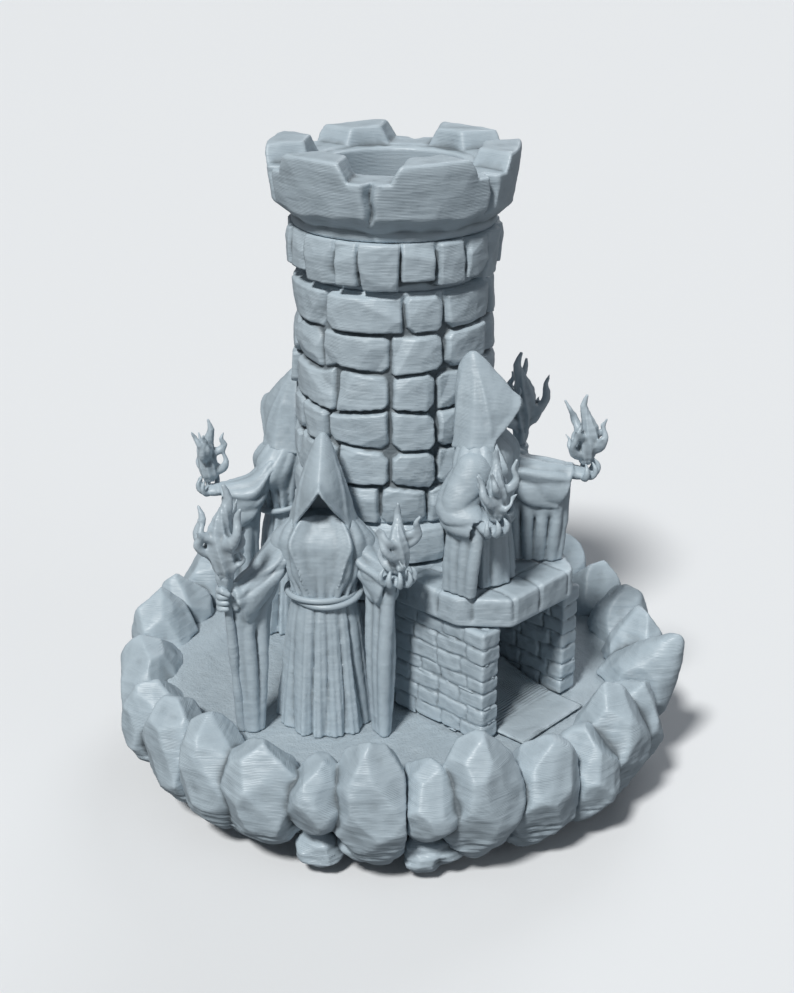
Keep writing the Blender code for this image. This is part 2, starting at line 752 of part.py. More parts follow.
def hood_mesh(grow):
    """A pointed hood whose peak leans back over the head."""
    sides = 12
    rings = []
    for height, middle, half, front, back in HOOD_PROFILE:
        ring = []
        for i in range(sides):
            angle = 2 * math.pi * i / sides
            depth = front if math.sin(angle) < 0 else back
            ring.append(Vector((
                (half * MM + grow) * math.cos(angle),
                middle * MM + (depth * MM + grow) * math.sin(angle),
                height * MM,
            )))
        rings.append(ring)
    return loft(rings)


def hood_opening():
    """The wedge taken out of a hood's front: an inverted V, deeper than the rim is thick."""
    outline = ((-8.6, 70.0), (8.6, 70.0), (7.4, 75.0), (0.0, 86.5), (-7.4, 75.0))
    return loft([[Vector((x, y, z)) * MM for x, z in outline] for y in (-18.0, -0.5)])


def belt_mesh(grow=0.0):
    """A rope belt lying round the waist, lower at the front."""
    sides = 12
    radius = 1.4 * MM
    rings = []
    for i in range(sides):
        angle = 2 * math.pi * i / sides
        half, front, back = interpolate(ROBE_PROFILE, BELT_HEIGHT / MM)
        depth = front if math.sin(angle) < 0 else back
        out = Vector((math.cos(angle), math.sin(angle), 0.0))
        reach = radius + 0.5 * MM
        centre = Vector((
            (half * MM + reach) * math.cos(angle),
            (depth * MM + reach) * math.sin(angle),
            BELT_HEIGHT + 1.2 * MM * math.sin(angle),
        ))
        rings.append([
            centre
            + out * (radius + grow) * math.cos(a)
            + Vector((0, 0, (1.7 * radius + grow) * math.sin(a)))
            for a in (2 * math.pi * j / 4 for j in range(4))
        ])
    return loft(rings, closed=True)


def sleeve_shapes(side, hand, start, back, drape):
    """The arm in a bell sleeve, and the long drape that hangs from it to the ground."""
    hand = Vector(hand) * MM
    shoulder = Vector((side * 12.0, 0.5, 66.5)) * MM
    elbow = (shoulder + hand) / 2 + Vector((-side * 0.5, 3.0 + back, -3.5)) * MM
    wrist = hand + (elbow - hand).normalized() * 4.4 * MM - Vector((0, 0, 1.8 * MM))
    reach = (wrist - shoulder) * Vector((1, 1, 0))
    reach.normalize()
    aside = Vector((-reach.y, reach.x, 0.0))
    rings = []
    steps = 4
    sides = 8
    for step in range(steps + 1):
        centre = through([shoulder, elbow, wrist], step / steps)
        width, rise, fall = interpolate(SLEEVE_PROFILE, step / steps)
        ring = []
        for a in (2 * math.pi * i / sides for i in range(sides)):
            lift = (rise if math.sin(a) > 0 else fall) * math.sin(a)
            ring.append(centre + (aside * width * math.cos(a) + Vector((0.0, 0.0, lift))) * MM)
        rings.append(ring)
    arm = loft(rings)
    top = elbow.lerp(wrist, 0.3)
    wide, narrow, ahead = (value * MM for value in drape)
    toe = Vector((top.x + side * 0.5 * MM, top.y - ahead, start + GAP))
    top.z += 3.0 * MM
    rings = []
    steps = 3
    for step in range(steps + 1):
        centre = top.lerp(toe, step / steps)
        drop = (top.z - centre.z) / top.z
        along = wide + (narrow - wide) * drop
        across = (5.6 - 3.2 * drop) * MM
        rings.append([
            centre + reach * along * math.cos(a) + aside * across * math.sin(a)
            for a in (2 * math.pi * i / 7 for i in range(7))
        ])
    return arm, loft(rings)


def fist_mesh(hand):
    """Four fingers wrapped about a staff: a ribbed barrel on the staff's axis."""
    hand = Vector(hand) * MM
    rings = []
    for row in range(7):
        radius = (4.1 if row % 2 else 3.4) * MM
        z = hand.z + (row - 3) * 1.6 * MM
        rings.append([
            Vector((hand.x + radius * math.cos(a), hand.y + radius * math.sin(a), z))
            for a in (2 * math.pi * i / 7 for i in range(7))
        ])
    return loft(rings)


def palm_shapes(hand, side):
    """An open hand, palm up, with four fingers curled up round what it holds."""
    hand = Vector(hand) * MM
    palm = bmesh.new()
    bmesh.ops.create_uvsphere(
        palm, u_segments=6, v_segments=4, radius=1.0,
        matrix=Matrix.Translation(hand) @ Matrix.Diagonal((4.2 * MM, 4.6 * MM, 2.4 * MM, 1.0)),
    )
    shapes = [palm]
    for index in range(4):
        angle = math.radians(-90.0 + side * (index - 1.2) * 34.0)
        out = Vector((math.cos(angle), math.sin(angle), 0.0))
        rise = Vector((0, 0, 1.0))
        points = [
            hand + out * 2.4 * MM,
            hand + out * 5.0 * MM - rise * 0.2 * MM,
            hand + out * 6.6 * MM + rise * 1.8 * MM,
            hand + out * 6.4 * MM + rise * 3.6 * MM,
        ]
        shapes.append(loft(tube_rings(points, [1.2 * MM, 1.2 * MM, 1.0 * MM, 0.6 * MM], 2, 3)))
    return shapes


def flame_shapes():
    """A flame of unit height: a twisting body with tongues that curl out and up from it."""
    body = [(0, 0, 0), (0.01, -0.01, 0.14), (-0.02, 0.0, 0.34), (-0.03, 0.01, 0.52),
            (0.03, 0.0, 0.70), (0.075, 0.0, 0.85), (0.03, 0.0, 1.0)]
    shapes = [loft(tube_rings(
        [Vector(point) for point in body], [0.06, 0.14, 0.20, 0.175, 0.10, 0.06, 0.012], 5, 5
    ))]
    for index in range(3):
        angle = index * 2.2 + 0.5
        out = Vector((math.cos(angle), math.sin(angle), 0.0))
        low = 0.14 + 0.13 * index
        rise = Vector((0, 0, 1.0))
        points = [
            out * 0.09 + rise * low,
            out * 0.205 + rise * (low + 0.07),
            out * 0.245 + rise * (low + 0.19),
            out * 0.205 + rise * (low + 0.30),
            out * 0.24 + rise * (low + 0.38),
        ]
        shapes.append(loft(tube_rings(points, [0.085, 0.075, 0.055, 0.038, 0.012], 4, 3)))
    return shapes


def flame_mesh(kit):
    """One flame joined into a single body, to be used by every hand and staff."""
    shapes = flame_shapes()
    core = kit.cutter("flame_core", shapes[0])
    tongues = kit.group("flame_tongues")
    for index, bm in enumerate(shapes[1:]):
        kit.cutter(f"flame_tongue_{index + 1}", bm, group=tongues)
    boolean(core, "UNION", tongues)
    bpy.context.view_layer.update()
    mesh = bpy.data.meshes.new_from_object(core.evaluated_get(bpy.context.evaluated_depsgraph_get()))
    mesh.name = "flame"
    mesh.materials.append(kit.flame)
    return mesh


class Figure:
    """A hooded, robed figure: where it stands, which way it faces, and what each hand does."""

    def __init__(self, name, radius, azimuth, facing, base, start, right, left, staff, back=0.0,
                 drapes=(DRAPE, DRAPE)):
        self.name = name
        self.place = polar(radius * MM, azimuth)
        self.place.z = base
        self.facing = facing
        self.start = start
        self.hands = {"right": right, "left": left}
        self.staff = staff
        self.back = back
        self.drapes = dict(zip(("right", "left"), drapes))

    def build(self, kit, flame):
        """All the figure's pieces, under one empty at its feet."""
        root = kit.empty(self.name, self.place, self.facing)
        robe = kit.piece(f"{self.name}_robe", robe_mesh(self.start + GAP), kit.cloth, root)
        robe_room = kit.cutter(f"{self.name}_robe_room", robe_mesh(self.start - MM, GAP), root)
        hood = kit.piece(f"{self.name}_hood", hood_mesh(0.0), kit.cloth, root)
        boolean(hood, "DIFFERENCE", kit.cutter(f"{self.name}_face", hood_opening(), root))
        hood_room = kit.cutter(f"{self.name}_hood_room", hood_mesh(GAP), root)
        belt_room = kit.cutter(f"{self.name}_belt_room", belt_mesh(GAP), root)
        kit.piece(f"{self.name}_belt", belt_mesh(), kit.cloth, root)
        for name, side in (("right", -1), ("left", 1)):
            self.build_arm(kit, flame, root, name, side, (robe_room, hood_room, belt_room))
        return robe

    def build_arm(self, kit, flame, root, name, side, rooms):
        """One sleeve with its hand, and the staff or flame that the hand holds."""
        hand = self.hands[name]
        label = f"{self.name}_arm_{name}"
        arm, tail = sleeve_shapes(side, hand, self.start, self.back if side < 0 else 0.0, self.drapes[name])
        grips = self.staff and name == "right"
        shapes = [tail] + ([fist_mesh(hand)] if grips else palm_shapes(hand, side))
        group = kit.group(f"{label}_shapes")
        obj = kit.piece(label, arm, kit.cloth, root)
        for index, bm in enumerate(shapes):
            kit.cutter(f"{label}_shape_{index}", bm, root, group)
        boolean(obj, "UNION", group)
        for room in rooms:
            boolean(obj, "DIFFERENCE", room)
        at = Vector(hand) * MM
        if grips:
            top = at.z + self.staff * MM
            low = self.start + GAP
            kit.piece(f"{self.name}_staff", self.staff_mesh(at, low, top, 0.0), kit.cloth, root)
            hole = kit.cutter(f"{label}_grip", self.staff_mesh(at, low - 2 * MM, top + 2 * MM, GAP), root)
            boolean(obj, "DIFFERENCE", hole)
            seat = Vector((at.x, at.y, top + 2 * GAP)) - Vector((1, 1, 0)) * STAFF_LEAN * self.staff * MM
            height = 31.0 * MM
        else:
            seat = at + Vector((side * 0.6, -1.8, 3.6)) * MM
            height = 23.0 * MM
        fire = bpy.data.objects.new(f"{self.name}_flame_{name}", flame)
        fire.parent = root
        fire.location = seat
        fire.scale = (height, height, height)
        fire.rotation_euler = (0.0, 0.0, math.radians(40.0 * side + 60.0))
        kit.parts.objects.link(fire)

    @staticmethod
    def staff_mesh(at, low, top, grow):
        """A straight staff through the hand, leaning out from the ground to the flame."""
        lean = Vector((-STAFF_LEAN, -STAFF_LEAN, 1.0))
        ends = [at + lean * (z - at.z) for z in (low, (low + top) / 2, top)]
        radius = STAFF_RADIUS + grow
        return loft(tube_rings(ends, [radius, radius, radius], 1, 8))


def figures():
    """The four figures: three on the tray's floor and one on the gate's slab."""
    sunk = 26.0 * MM
    return [
        Figure("front_mage", 48.0, -28.5, -3.0, FLOOR_Z, 0.0,
               (-30.0, -13.0, 50.5), (24.5, -13.0, 59.0), 8.0),
        Figure("left_mage", 48.5, -128.0, -126.0, FLOOR_Z, 0.0,
               (-30.0, -13.0, 50.5), (26.0, -14.0, 59.0), 8.0),
        Figure("rear_mage", 48.5, 162.0, 164.0, FLOOR_Z, 0.0,
               (-30.0, -13.0, 59.0), (24.5, -13.0, 59.0), 9.0),
        Figure("gate_mage", 47.5, 37.1, 74.0, SLAB_TOP_Z + 0.6 * MM - sunk, sunk,
               (-20.0, -7.0, 51.3), (17.0, -28.5, 58.0), 0.0, 4.6, (STRAIGHT_DRAPE, WIDE_DRAPE)),
    ]


def main():
    """Build the whole object at rest."""
    clear_scene()
    kit = Kit()
    build_tray(kit)
    build_rim(kit)
    build_shaft(kit)
    build_crown(kit)
    build_baffles(kit)
    build_gate(kit)
    flame = flame_mesh(kit)
    for person in figures():
        person.build(kit, flame)


if __name__ == "__main__":
    main()
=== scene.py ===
"""Looks of a printed dice tower: a stone keep in a boulder-rimmed tray, with hooded figures round it.

Shapes are sculpted in millimetres as distance fields, skinned, roughened with Geometry Nodes and
dressed as printed grey plastic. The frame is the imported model's: metres, +Z up, the front is -Y.
Azimuths are in degrees from the front towards +X.
"""

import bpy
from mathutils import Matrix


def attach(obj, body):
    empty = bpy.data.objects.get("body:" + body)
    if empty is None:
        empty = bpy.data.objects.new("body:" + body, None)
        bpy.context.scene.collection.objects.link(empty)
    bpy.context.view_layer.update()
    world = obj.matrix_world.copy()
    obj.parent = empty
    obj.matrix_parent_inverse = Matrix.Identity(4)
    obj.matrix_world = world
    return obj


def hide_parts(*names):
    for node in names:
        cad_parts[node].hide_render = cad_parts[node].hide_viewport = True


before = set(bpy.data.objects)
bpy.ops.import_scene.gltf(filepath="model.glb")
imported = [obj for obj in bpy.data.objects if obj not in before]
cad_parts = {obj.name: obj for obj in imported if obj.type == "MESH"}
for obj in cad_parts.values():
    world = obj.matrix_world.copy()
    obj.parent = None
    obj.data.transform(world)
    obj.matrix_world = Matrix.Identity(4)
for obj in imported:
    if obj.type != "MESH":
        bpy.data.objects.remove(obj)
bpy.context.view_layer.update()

import logging
import math
import random
from dataclasses import dataclass
from enum import Enum
from typing import Callable, Iterable, Optional, Sequence, Union

import bmesh
import bpy
import numpy as np
from mathutils import Matrix, Vector

LOG = logging.getLogger("dice_tower")
MM = 0.001  # metres in a millimetre
TO_MM = 1000.0  # millimetres in a metre
GAP = 0.3  # between neighbouring pieces (mm)
FLOOR_Z = 34.0  # height of the tray's floor (mm)
STAFF_LEAN = Vector((-0.05, -0.05, 1.0))  # the way that a staff rises
UP = Vector((0.0, 0.0, 1.0))
FAR = np.float32(99.0)  # distance held where clay is empty (mm)
SMALLEST_SHELL = 60.0  # faces of the smallest loose shell that stays

Array = np.ndarray
Point = Sequence[float]
Field = Callable[[Array, Array, Array], Array]


class Body(Enum):
    """The two halves of the object that part from each other."""

    TRAY = "tray"
    TOWER = "tower"


class Side(Enum):
    """A figure's own right or left, as a sign along X."""

    RIGHT = -1
    LEFT = 1


class Grip(Enum):
    """What a hand does."""

    STAFF = "staff"
    OPEN = "open"


def polar(radius: float, azimuth: float, z: float = 0.0) -> Vector:
    """A point at a radius and an azimuth from the front."""
    angle = math.radians(azimuth)
    return Vector((radius * math.sin(angle), -radius * math.cos(angle), z))


def levelled(way: Vector) -> Vector:
    """A way turned level, of unit length."""
    return Vector((way.x, way.y, 0.0)).normalized()


def box_round(points: Sequence[Vector], margin: float) -> tuple[tuple, tuple]:
    """Lowest and highest corner of the box round some points, with a margin."""
    low = tuple(min(point[i] for point in points) - margin for i in range(3))
    return low, tuple(max(point[i] for point in points) + margin for i in range(3))


def through(points: Sequence[Vector], share: float) -> Vector:
    """A smooth curve through points.

    Args:
        points: the points that the curve passes.
        share: where to read it, from 0 at the first point to 1 at the last.

    Returns:
        The point on the curve.
    """
    spans = len(points) - 1
    at = min(share * spans, spans - 1e-6)
    index = int(at)
    t = at - index
    before, start = points[max(index - 1, 0)], points[index]
    end, after = points[index + 1], points[min(index + 2, spans)]
    return 0.5 * (
        2 * start
        + (end - before) * t
        + (2 * before - 5 * start + 4 * end - after) * t * t
        + (3 * start - before - 3 * end + after) * t ** 3
    )


def smooth_min(first: Array, second: Array, blend: float) -> Array:
    """The lower of two fields, run together over a width where they are close."""
    if blend <= 0.0:
        return np.minimum(first, second)
    near = np.maximum(blend - np.abs(first - second), 0.0) / blend
    return np.minimum(first, second) - near * near * (blend * 0.25)


def smooth_max(first: Array, second: Array, blend: float) -> Array:
    """The higher of two fields, run together over a width where they are close."""
    return -smooth_min(-first, -second, blend)


@dataclass(frozen=True)
class Solid:
    """A shape: its distance function, negative inside, and the box that it lies in (mm)."""

    distance: Field
    low: tuple[float, float, float]
    high: tuple[float, float, float]


def ellipsoid(centre: Point, radii: Point) -> Solid:
    """A rounded lump of some radii along the axes."""

    def distance(x: Array, y: Array, z: Array) -> Array:
        """Distance by the scaled radius."""
        u, v, w = ((part - c) / r for part, c, r in zip((x, y, z), centre, radii))
        return (np.sqrt(u * u + v * v + w * w) - 1.0) * min(radii)

    low = tuple(c - r for c, r in zip(centre, radii))
    high = tuple(c + r for c, r in zip(centre, radii))
    return Solid(distance, low, high)


def limb(points: Sequence[Point], radii: Sequence[float], steps: int = 10, droop: float = 0.0) -> Solid:
    """A round limb along a smooth path.

    Args:
        points: the points that its middle passes.
        radii: its radius at each point.
        steps: straight runs that the path is broken into.
        droop: share by which its underside hangs lower than its top stands up.

    Returns:
        The solid.
    """
    path = [Vector(point) for point in points]
    sizes = [Vector((radius, 0.0, 0.0)) for radius in radii]
    places = [through(path, step / steps) for step in range(steps + 1)]
    widths = [max(through(sizes, step / steps).x, 0.05) for step in range(steps + 1)]

    def distance(x: Array, y: Array, z: Array) -> Array:
        """Distance to the nearest run, less its tapering radius."""
        best = None
        for p, q, rp, rq in zip(places, places[1:], widths, widths[1:]):
            d = q - p
            length = max(d.length_squared, 1e-9)
            t = np.clip(((x - p.x) * d.x + (y - p.y) * d.y + (z - p.z) * d.z) / length, 0.0, 1.0)
            rise = z - p.z - t * d.z
            if droop:
                rise = np.where(rise < 0.0, rise / (1.0 + droop), rise)
            gap = np.sqrt((x - p.x - t * d.x) ** 2 + (y - p.y - t * d.y) ** 2 + rise * rise)
            run = gap - (rp + (rq - rp) * t)
            best = run if best is None else np.minimum(best, run)
        return best

    return Solid(distance, *box_round(places, max(widths) * (1.0 + droop)))


def block(low: Point, high: Point, edge: float) -> Solid:
    """A square block with rounded edges."""
    middle = [(a + b) / 2 for a, b in zip(low, high)]
    half = [(b - a) / 2 - edge for a, b in zip(low, high)]

    def distance(x: Array, y: Array, z: Array) -> Array:
        """Distance to a box shrunk by its edge radius."""
        q = [np.abs(c - m) - h for c, m, h in zip((x, y, z), middle, half)]
        out = np.sqrt(sum(np.maximum(part, 0.0) ** 2 for part in q))
        return out + np.minimum(np.maximum(np.maximum(q[0], q[1]), q[2]), 0.0) - edge

    return Solid(distance, tuple(low), tuple(high))


class Clay:
    """A block of voxels that solids are added to and cut from before it is skinned."""

    def __init__(self, low: Point, high: Point, step: float) -> None:
        """Start an empty block.

        Args:
            low: its lowest corner (mm).
            high: its highest corner (mm).
            step: the voxel's size (mm).
        """
        self.step = step
        counts = [int(math.ceil((b - a) / step)) + 1 for a, b in zip(low, high)]
        self.axes = [
            np.float32(a) + np.float32(step) * np.arange(count, dtype=np.float32)
            for a, count in zip(low, counts)
        ]
        self.field = np.full(counts, FAR, dtype=np.float32)

    def window(self, low: Point, high: Point, margin: float) -> tuple[tuple, tuple[Array, Array, Array]]:
        """The part of the block that a box covers.

        Args:
            low: the box's lowest corner.
            high: the box's highest corner.
            margin: room left round it.

        Returns:
            The slices of the block and the coordinates in it.
        """
        spans = []
        for axis, a, b in zip(self.axes, low, high):
            first = int((a - margin - axis[0]) / self.step) - 2
            last = int((b + margin - axis[0]) / self.step) + 3
            spans.append(slice(max(first, 0), max(min(last, len(axis)), 1)))
        x, y, z = (axis[span] for axis, span in zip(self.axes, spans))
        return tuple(spans), (x[:, None, None], y[None, :, None], z[None, None, :])

    def add(self, solid: Solid, blend: float = 0.0) -> None:
        """Join a solid on, run into what is there over a blend width."""
        place, coordinates = self.window(solid.low, solid.high, blend)
        self.field[place] = smooth_min(self.field[place], solid.distance(*coordinates), blend)

    def cut(self, solid: Solid, blend: float = 0.0) -> None:
        """Take a solid away."""
        place, coordinates = self.window(solid.low, solid.high, blend)
        self.field[place] = smooth_max(self.field[place], -solid.distance(*coordinates), blend)

    def every(self) -> tuple[Array, Array, Array]:
        """Coordinates of the whole block."""
        x, y, z = self.axes
        return x[:, None, None], y[None, :, None], z[None, None, :]

    def keep(self, distance: Field, blend: float = 0.0) -> None:
        """Keep only what lies inside a shape that fills the block."""
        self.field = smooth_max(self.field, distance(*self.every()), blend).astype(np.float32)

    def stand(self, height: float) -> None:
        """Cut the clay off flat below a height."""
        self.keep(lambda x, y, z: height - z)

    def skin(self) -> tuple[Array, Array]:
        """The surface of the clay.

        Returns:
            Points (mm) and four-sided faces, by averaging the crossings in each voxel.
        """
        padded = np.pad(self.field, 1, constant_values=FAR)
        inside = padded < 0.0
        corners = [(i, j, k) for i in (0, 1) for j in (0, 1) for k in (0, 1)]
        size = [n - 1 for n in padded.shape]
        count = np.zeros(size, dtype=np.uint8)
        for i, j, k in corners:
            count += inside[i:i + size[0], j:j + size[1], k:k + size[2]]
        cells = np.argwhere((count > 0) & (count < 8))
        index = np.full(size, -1, dtype=np.int32)
        index[tuple(cells.T)] = np.arange(len(cells), dtype=np.int32)
        values = np.stack([padded[tuple((cells + corner).T)] for corner in corners], axis=1)
        total = np.zeros((len(cells), 3))
        hits = np.zeros(len(cells))
        for a in range(8):
            for b in range(a + 1, 8):
                step = np.subtract(corners[b], corners[a])
                if np.abs(step).sum() != 1:
                    continue
                cross = (values[:, a] < 0.0) != (values[:, b] < 0.0)
                t = values[cross, a] / (values[cross, a] - values[cross, b])
                total[cross] += np.array(corners[a]) + t[:, None] * step
                hits[cross] += 1.0
        start = np.array([axis[0] for axis in self.axes]) - self.step
        points = start + (cells + total / hits[:, None]) * self.step
        faces = []
        for axis in range(3):
            near = np.moveaxis(inside, axis, 0)
            change = near[:-1] != near[1:]
            spots = np.argwhere(change)
            entering = near[1:][change]
            others = [other for other in range(3) if other != axis]
            spots[:, [axis, *others]] = spots.copy()
            u, v = [(axis + n) % 3 for n in (1, 2)]
            ring = []
            for du, dv in ((0, 0), (-1, 0), (-1, -1), (0, -1)):
                cell = spots.copy()
                cell[:, u] += du
                cell[:, v] += dv
                ring.append(index[tuple(cell.T)])
            quads = np.stack(ring, axis=1)
            faces.append(np.where(entering[:, None], quads[:, ::-1], quads))
        return points, np.concatenate(faces)


Value = Union["Sock", float, int]


class Sock:
    """An output socket of a node tree whose operators add Math nodes to the tree."""

    def __init__(self, tree: "NodeTree", socket: bpy.types.NodeSocket) -> None:
        """Wrap one socket of a tree."""
        self.tree = tree
        self.socket = socket

    def maths(self, operation: str, *others: Value) -> "Sock":
        """A Math node with this value first."""
        return self.tree.maths(operation, self, *others)

    def __add__(self, other: Value) -> "Sock":
        """Sum."""
        return self.maths("ADD", other)

    __radd__ = __add__

    def __sub__(self, other: Value) -> "Sock":
        """Difference."""
        return self.maths("SUBTRACT", other)

    def __rsub__(self, other: Value) -> "Sock":
        """Difference from a number."""
        return self.tree.maths("SUBTRACT", other, self)

    def __mul__(self, other: Value) -> "Sock":
        """Product."""
        return self.maths("MULTIPLY", other)

    __rmul__ = __mul__

    def __truediv__(self, other: Value) -> "Sock":
        """Quotient."""
        return self.maths("DIVIDE", other)

    def __rtruediv__(self, other: Value) -> "Sock":
        """Quotient of a number."""
        return self.tree.maths("DIVIDE", other, self)

    def clamped(self, low: float = 0.0, high: float = 1.0) -> "Sock":
        """The value held between two limits."""
        return self.maths("MAXIMUM", low).maths("MINIMUM", high)


class NodeTree:
    """A node tree that is built by calls: one for any node, and one for Math nodes."""

    maths_type = "ShaderNodeMath"

    def __init__(self, tree: bpy.types.NodeTree) -> None:
        """Start on a tree of Blender's."""
        self.tree = tree

    def node(
        self,
        kind: str,
        settings: Optional[dict] = None,
        inputs: Optional[dict] = None,
        output: Union[str, int] = 0,
    ) -> Sock:
        """Add any node.

        Args:
            kind: the node's type.
            settings: its properties, which are set first.
            inputs: values or sockets for its inputs, by name, identifier or number.
            output: the output that is returned.

        Returns:
            The output socket.
        """
        made = self.tree.nodes.new(kind)
        for name, value in (settings or {}).items():
            setattr(made, name, value)
        for name, value in (inputs or {}).items():
            socket = made.inputs[name] if isinstance(name, int) else self.find(made.inputs, name)
            self.feed(socket, value)
        if not made.outputs:
            return Sock(self, made.inputs[0])
        socket = made.outputs[output] if isinstance(output, int) else self.find(made.outputs, output)
        return Sock(self, socket)

    @staticmethod
    def find(sockets: Iterable[bpy.types.NodeSocket], name: str) -> bpy.types.NodeSocket:
        """The enabled socket of a name or identifier."""
        for socket in sockets:
            if name in (socket.identifier, socket.name) and socket.enabled:
                return socket
        raise KeyError(name)

    def feed(self, socket: bpy.types.NodeSocket, value: object) -> None:
        """Link a socket, or set its own value."""
        if isinstance(value, Sock):
            self.tree.links.new(value.socket, socket)
        else:
            socket.default_value = value

    def maths(self, operation: str, *values: Value) -> Sock:
        """A Math node of an operation."""
        return self.node(self.maths_type, {"operation": operation}, dict(enumerate(values)))

    def vector(self, operation: str, *values: object, output: Union[str, int] = 0) -> Sock:
        """A Vector Math node of an operation; a scale goes in by name."""
        inputs: dict = dict(enumerate(values))
        if operation == "SCALE":
            inputs = {0: values[0], "Scale": values[1]}
        return self.node("ShaderNodeVectorMath", {"operation": operation}, inputs, output)


class SculptTree(NodeTree):
    """A Geometry Nodes tree with named inputs, used on a piece and then turned to plain mesh."""

    def __init__(self, name: str, sizes: dict[str, float]) -> None:
        """Make the tree and its sockets.

        Args:
            name: the tree's name.
            sizes: its named number inputs and their defaults.
        """
        super().__init__(bpy.data.node_groups.new(name, "GeometryNodeTree"))
        face = self.tree.interface
        face.new_socket("Geometry", in_out="OUTPUT", socket_type="NodeSocketGeometry")
        face.new_socket("Geometry", in_out="INPUT", socket_type="NodeSocketGeometry")
        for title, value in sizes.items():
            socket = face.new_socket(title, in_out="INPUT", socket_type="NodeSocketFloat")
            socket.default_value = value
        face.new_socket("Material", in_out="INPUT", socket_type="NodeSocketMaterial")
        self.group_in = self.tree.nodes.new("NodeGroupInput")
        self.group_out = self.tree.nodes.new("NodeGroupOutput")

    def size(self, title: str) -> Sock:
        """One of the tree's inputs."""
        return Sock(self, self.group_in.outputs[title])

    def end(self, geometry: Sock) -> None:
        """Realize what was made, give it its finish and hand it out."""
        real = self.node("GeometryNodeRealizeInstances", inputs={0: geometry})
        dressed = self.node("GeometryNodeSetMaterial", inputs={0: real, "Material": self.size("Material")})
        self.feed(self.group_out.inputs[0], dressed)

    def shape(self, obj: bpy.types.Object, finish: bpy.types.Material, **sizes: float) -> None:
        """Run the tree on an object and keep the result as its plain mesh.

        Args:
            obj: the piece.
            finish: the material it takes.
            sizes: inputs by name, with underscores for spaces.
        """
        modifier = obj.modifiers.new(self.tree.name, "NODES")
        modifier.node_group = self.tree
        wanted = {title.replace("_", " "): value for title, value in sizes.items()}
        for item in self.tree.interface.items_tree:
            if item.item_type == "SOCKET" and item.in_out == "INPUT":
                if item.name in wanted:
                    modifier[item.identifier] = float(wanted.pop(item.name))
                elif item.name == "Material":
                    modifier[item.identifier] = finish
        if wanted:
            raise KeyError(f"{self.tree.name} has no input {sorted(wanted)}")
        obj.update_tag()
        bpy.context.view_layer.update()
        evaluated = obj.evaluated_get(bpy.context.evaluated_depsgraph_get())
        made = bpy.data.meshes.new_from_object(evaluated)
        obj.modifiers.remove(modifier)
        old = obj.data
        obj.data = made
        made.name = obj.name
        bpy.data.meshes.remove(old)


